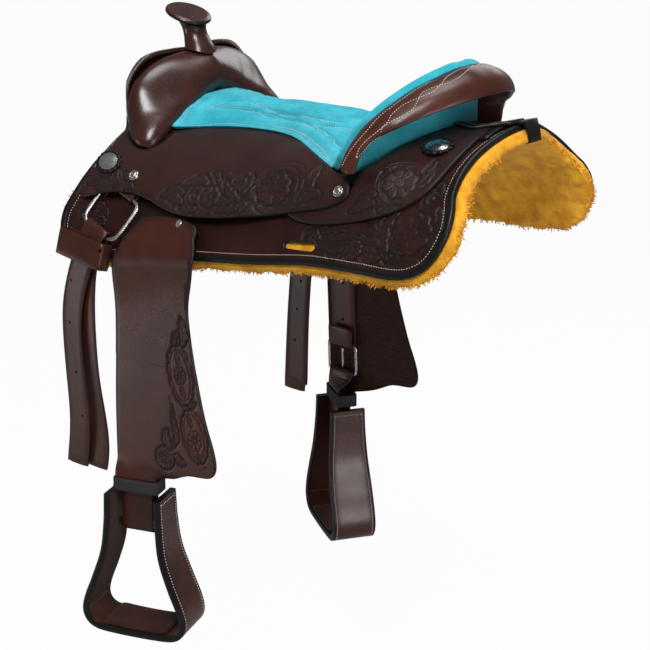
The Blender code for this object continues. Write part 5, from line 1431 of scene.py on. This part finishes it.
# %% [markdown]
# ## Conchos, screws and nails
# Each jockey carries an engraved silver oval on a black scalloped leather rosette, and a dome-headed screw with a
# washer that holds it to the tree. Both are turned forms: rings round a middle, made oval, with the engraving as
# dark lines pressed into the dome.

# %% Buttons
FRAMES = {
    "concho_front": ((-221.41, -163.44, -26.43), (0.9951, -0.0364, -0.0918), (-0.008, -0.6985, -0.7156),
                     (0.0382, -0.7153, 0.6978)),
    "concho_rear": ((225.65, -67.58, 44.62), (0.9963, 0.0802, 0.0322), (0.007, -0.928, -0.3725), (0, -0.3726, 0.928)),
    "screw_front": ((-174.01, -166.47, -35.56), (0.9942, 0.0105, -0.1073), (-0.0025, -0.6647, -0.7471),
                    (0.0794, -0.7449, 0.6625)),
    "screw_rear": ((137.77, -140.88, -8.36), (0.9899, 0.0111, 0.1413), (0.0541, -0.4819, -0.8746),
                   (-0.0585, -0.8759, 0.479)),
}


def button(name, spot, profile, finish, wide=1.0, tall=1.0, sectors=48, carve=None, scallop=0.0, petals=14):
    """Rings (radius, height) round a middle. carve(radius, angle) darkens and sinks the face."""
    point, along, down, out = (np.array(part, float) for part in spot)
    points, stains = [], []
    for radius, height in profile:
        for sector in range(sectors):
            angle = 2 * math.pi * sector / sectors
            reach = radius * (1 + scallop * math.cos(petals * angle) * min(radius / profile[0][0], 1) ** 4)
            dark = carve(radius / profile[0][0], angle) if carve and height > 0 else 0.0
            points.append(point + along * reach * wide * math.cos(angle) + down * reach * tall * math.sin(angle)
                          + out * (height - dark * 0.35))
            stains.append(dark)
    return new_mesh(name, points, tube(len(profile), sectors), finish, 50.0, stain=stains)


def engraving(radius, angle):
    """A five-petalled flower with a roped edge."""
    petal = abs(math.cos(2.5 * angle)) ** 0.6 * 0.62
    line = max(0.0, 1 - abs(radius - petal) / 0.07)
    vein = max(0.0, 1 - abs(math.sin(5 * angle)) / 0.25) * (0.2 < radius < 0.5)
    edge = (0.76 < radius < 0.93) * (0.5 + 0.5 * math.sin(24 * angle)) ** 2
    ring = max(0.0, 1 - abs(radius - 0.74) / 0.035)
    return min(1.0, max(line * 0.9, vein * 0.7, edge * 0.8, ring * 0.8))


SCREW = [(7.0, -0.6), (7.0, 0.6), (6.6, 1.1), (5.4, 1.25), (4.9, 0.85), (4.5, 1.2), (4.2, 1.9), (3.4, 2.5),
         (2.4, 2.85), (1.9, 2.6), (1.3, 2.8), (0.3, 3.0)]
DOME = [(15.0, 1.2)] + [(15.0 * r, 2.2 + 3.3 * (1 - r ** 2)) for r in np.linspace(1, 0.03, 18)]
ROSETTE = [(19.5, -0.4), (19.5, 1.3), (18.8, 2.0), (16.0, 2.3), (14.0, 2.0), (3.0, 1.6)]
BEAD = [(1.5, -0.3), (1.5, 0.3), (1.1, 0.9), (0.3, 1.2)]
BEADS = 14
ENDS = [(end, word, side) for word, side in SIDES for end in ("front", "rear")]
for end, word, side in ENDS:
    spot = [np.array(part, float) * (1, -side, 1) for part in FRAMES["concho_" + end]]
    stand_for(button(f"concho_oval_{end}_{word}", spot, DOME, silver, 1.0, 0.8, 72, engraving),
              f"concho_{end}_{word}")
    stand_for(button(f"rosette_cut_{end}_{word}", spot, ROSETTE, black_leather, 1.0, 0.84, 112, None, 0.05),
              f"rosette_{end}_{word}")
    for index in range(BEADS):
        angle = 2 * math.pi * index / BEADS
        middle = spot[0] + spot[1] * 17.3 * math.cos(angle) + spot[2] * 14.4 * math.sin(angle) + spot[3] * 1.9
        stand_for(button(f"bead_{end}_{word}_{index}", (middle, *spot[1:]), BEAD, black_leather, sectors=8),
                  body="saddle")
    spot = [np.array(part, float) * (1, -side, 1) for part in FRAMES["screw_" + end]]
    stand_for(button(f"screw_dome_{end}_{word}", spot, SCREW, steel, sectors=32), f"jockey_screw_{end}_{word}")
print("conchos", len(ENDS), "screws", len(ENDS), "beads", len(ENDS) * BEADS)

# %% Join the beads of each rosette
for end, word, side in ENDS:
    beads = [bpy.data.objects[f"bead_{end}_{word}_{index}"] for index in range(BEADS)]
    choose(beads[0])
    for bead in beads:
        bead.select_set(True)
    bpy.ops.object.join()
    beads[0].name = f"rosette_beads_{end}_{word}"
    print(beads[0].name, "faces", len(beads[0].data.polygons))

# %% A silver nail on each fender
NAIL = [(5.0, -0.4), (5.0, 0.4), (4.1, 0.8), (3.0, 0.95), (2.4, 0.7), (0.3, 0.8)]
for word, side in SIDES:
    (place,), (way,) = snapped(bpy.data.objects["fender_leather_" + word], [(-81, side * 182, -78.5)])
    along = np.cross(way, (0, 0, 1.0))
    along /= np.linalg.norm(along)
    nail = button("fender_nail_" + word, (place, along, np.cross(way, along), way), NAIL, silver, 0.82, sectors=24)
    stand_for(nail, body=nodes["fender_" + word]["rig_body"])
    print(nail.name, "at", [round(value) for value in place])

# %% [markdown]
# ## Cut edges, punched holes and the last seams
# A strap's edges are rounded with an edger and inked black, and its holes are punched. The ink goes on every point
# where the leather behind the surface is much deeper than a strap is thick. The holes are cut with small cylinders
# through the copies. Seams that hold two leathers together close this step.

# %% Inked edges
def edge_ink(obj):
    """Inks the points behind which the leather is deeper than a strap is thick."""
    tree = BVHTree.FromObject(obj, bpy.context.evaluated_depsgraph_get())
    values = []
    for place, way in zip(*mesh_arrays(obj)):
        hit = tree.ray_cast(Vector((place - way * 0.05) * MM), Vector(-way))
        deep = hit[3] / MM if hit[0] is not None else 0.0
        values.append(1.0 if deep > STRAP_LEATHER * 1.5 else 0.0)
    paint(obj, "ink", values)


STRAPS = ("latigo", "off_billet", "stirrup_leather_", "stirrup_loop_", "rigging_strap_")
for item in bpy.data.objects:
    if item.name.startswith(STRAPS) and item.name.endswith("_skin"):
        edge_ink(item)
        print("inked", item.name)

# %% Punched holes
def punch(obj, spots, radius=2.1):
    for spot in spots:
        (place,), (way,) = snapped(obj, [spot])
        bpy.ops.mesh.primitive_cylinder_add(vertices=16, radius=radius * MM, depth=0.012, location=place * MM,
                                            rotation=Vector(way).to_track_quat("Z", "Y").to_euler())
        cutter = bpy.context.object
        cutter.data.materials.append(black_leather)
        choose(obj)
        cut = obj.modifiers.new("hole", "BOOLEAN")
        cut.object, cut.operation, cut.solver = cutter, "DIFFERENCE", "EXACT"
        bpy.ops.object.modifier_apply(modifier="hole")
        bpy.data.objects.remove(cutter, do_unlink=True)
    print(obj.name, "faces", len(obj.data.polygons))


punch(latigo_band, [(-180, -224, -123)])
punch(latigo, [(-238, -222, -173), (-247, -219, -233), (-240, -219, -300), (-232, -219, -360)])
punch(billet, [(-221, 208, -276), (-228, 208, -320), (-232, 207, -369)])
punch(bpy.data.objects["stirrup_leather_right_skin"], [(-136, 202, -260), (-139, 205, -316), (-118, 206, -351)])

# %% [markdown]
# The fork's two leathers meet in a doubled row of thread, the front of each seat jockey has another, and the horn
# cap's rim is bound in black and whipped round with fine lace.

# %% Seams of the fork, jockeys and cap
FORK_SEAM = [(-233, -20, 104), (-233, -40, 103), (-233, -58, 100), (-233, -78, 94), (-233, -94, 85), (-233, -106, 74),
             (-233, -113, 64), (-233, -120, 48), (-233, -124, 32), (-233, -125, 18), (-233, -122, 3)]
JOCKEY_SEAM = [(-239, -131, -7), (-238, -140, -11), (-240, -148, -18), (-244, -157, -28), (-249, -165, -38)]
seam_runs = [run_on(fork_front, line, shift=shift) for line in (FORK_SEAM, mirrored(FORK_SEAM))
             for shift in (0.0, -3.4)]
for line, leather_piece in ((JOCKEY_SEAM, "seat_leather_left"), (mirrored(JOCKEY_SEAM), "seat_leather_right")):
    seam_runs += [run_on(bpy.data.objects[leather_piece], line, shift=shift) for shift in (0.0, 3.2)]
sew("front_seams", "saddle", seam_runs, pitch=3.0, radius=0.36)
print("front seams", len(seam_runs))

# %% Horn cap
CAP_MIDDLE, CAP_WAY = np.array((-233.0, 0.0, 142.0)), np.array((0.3256, 0.0, 0.9455))
CAP_ACROSS = np.array((0.0, 1.0, 0.0))
CAP_LACE_RADIUS = 28.5
CAP_NAIL = [(1.0, -0.3), (1.0, 0.25), (0.6, 0.5), (0.1, 0.55)]
cap_places, cap_ways = mesh_arrays(cap_skin)
cap_side = ease((0.75 - np.abs(cap_ways @ CAP_WAY)) / 0.25)
from_middle = cap_places - CAP_MIDDLE
out_of_axis = np.linalg.norm(from_middle - np.outer(from_middle @ CAP_WAY, CAP_WAY), axis=1)
paint(cap_skin, "ink", cap_side * ease((out_of_axis - 24) / 4))
cap_along = np.cross(CAP_ACROSS, CAP_WAY)
ring = [CAP_MIDDLE + (cap_along * math.cos(a) + CAP_ACROSS * math.sin(a)) * CAP_LACE_RADIUS + CAP_WAY * 4
        for a in np.radians(np.arange(0, 364, 5))]
sew("cap_lace", "saddle", [snapped(cap_skin, ring)], strap_thread, 2.6, 0.62, 0.42)
(place,), (way,) = snapped(cap_skin, [CAP_MIDDLE + CAP_WAY * 6])
stand_for(button("cap_nail", (place, cap_along, CAP_ACROSS, way), CAP_NAIL, black_leather, sectors=12), body="saddle")

# %% [markdown]
# Behind the cantle the two rear jockeys meet under a narrow black strip, which is sewn down along its outer edge.

# %% Strip over the joint
STRIP = [(198, 0.6), (240, 0.6), (292, 0.6), (293, 8), (288, 15), (262, 13), (230, 9), (204, 5), (197, 3)]
STRIP_LEATHER = 2.6


def on_rear_jockey(u, v):
    return rear_jockey_height(u, v) + JOCKEY_LEATHER


strip_runs = []
seam = walk(through([(204, 3.4), (230, 6.8), (262, 10.6), (288, 12.4)], 4), 2.5)
for word, side in SIDES:
    strip = cut_sheet("rear_strip_" + word, through(STRIP + STRIP[:1], 3)[:-1],
                      on_form(on_rear_jockey, STRIP_LEATHER, side, 0.4), black_leather, coarse=5.0, rounding=0.6,
                      ink_width=0.8)
    stand_for(strip, body="saddle")
    places = form(seam[:, 0], seam[:, 1], on_rear_jockey(seam[:, 0], seam[:, 1]) + STRIP_LEATHER, side)
    strip_runs.append(snapped(strip, places))
sew("rear_strip_seams", "saddle", strip_runs, pitch=3.2, radius=0.42)
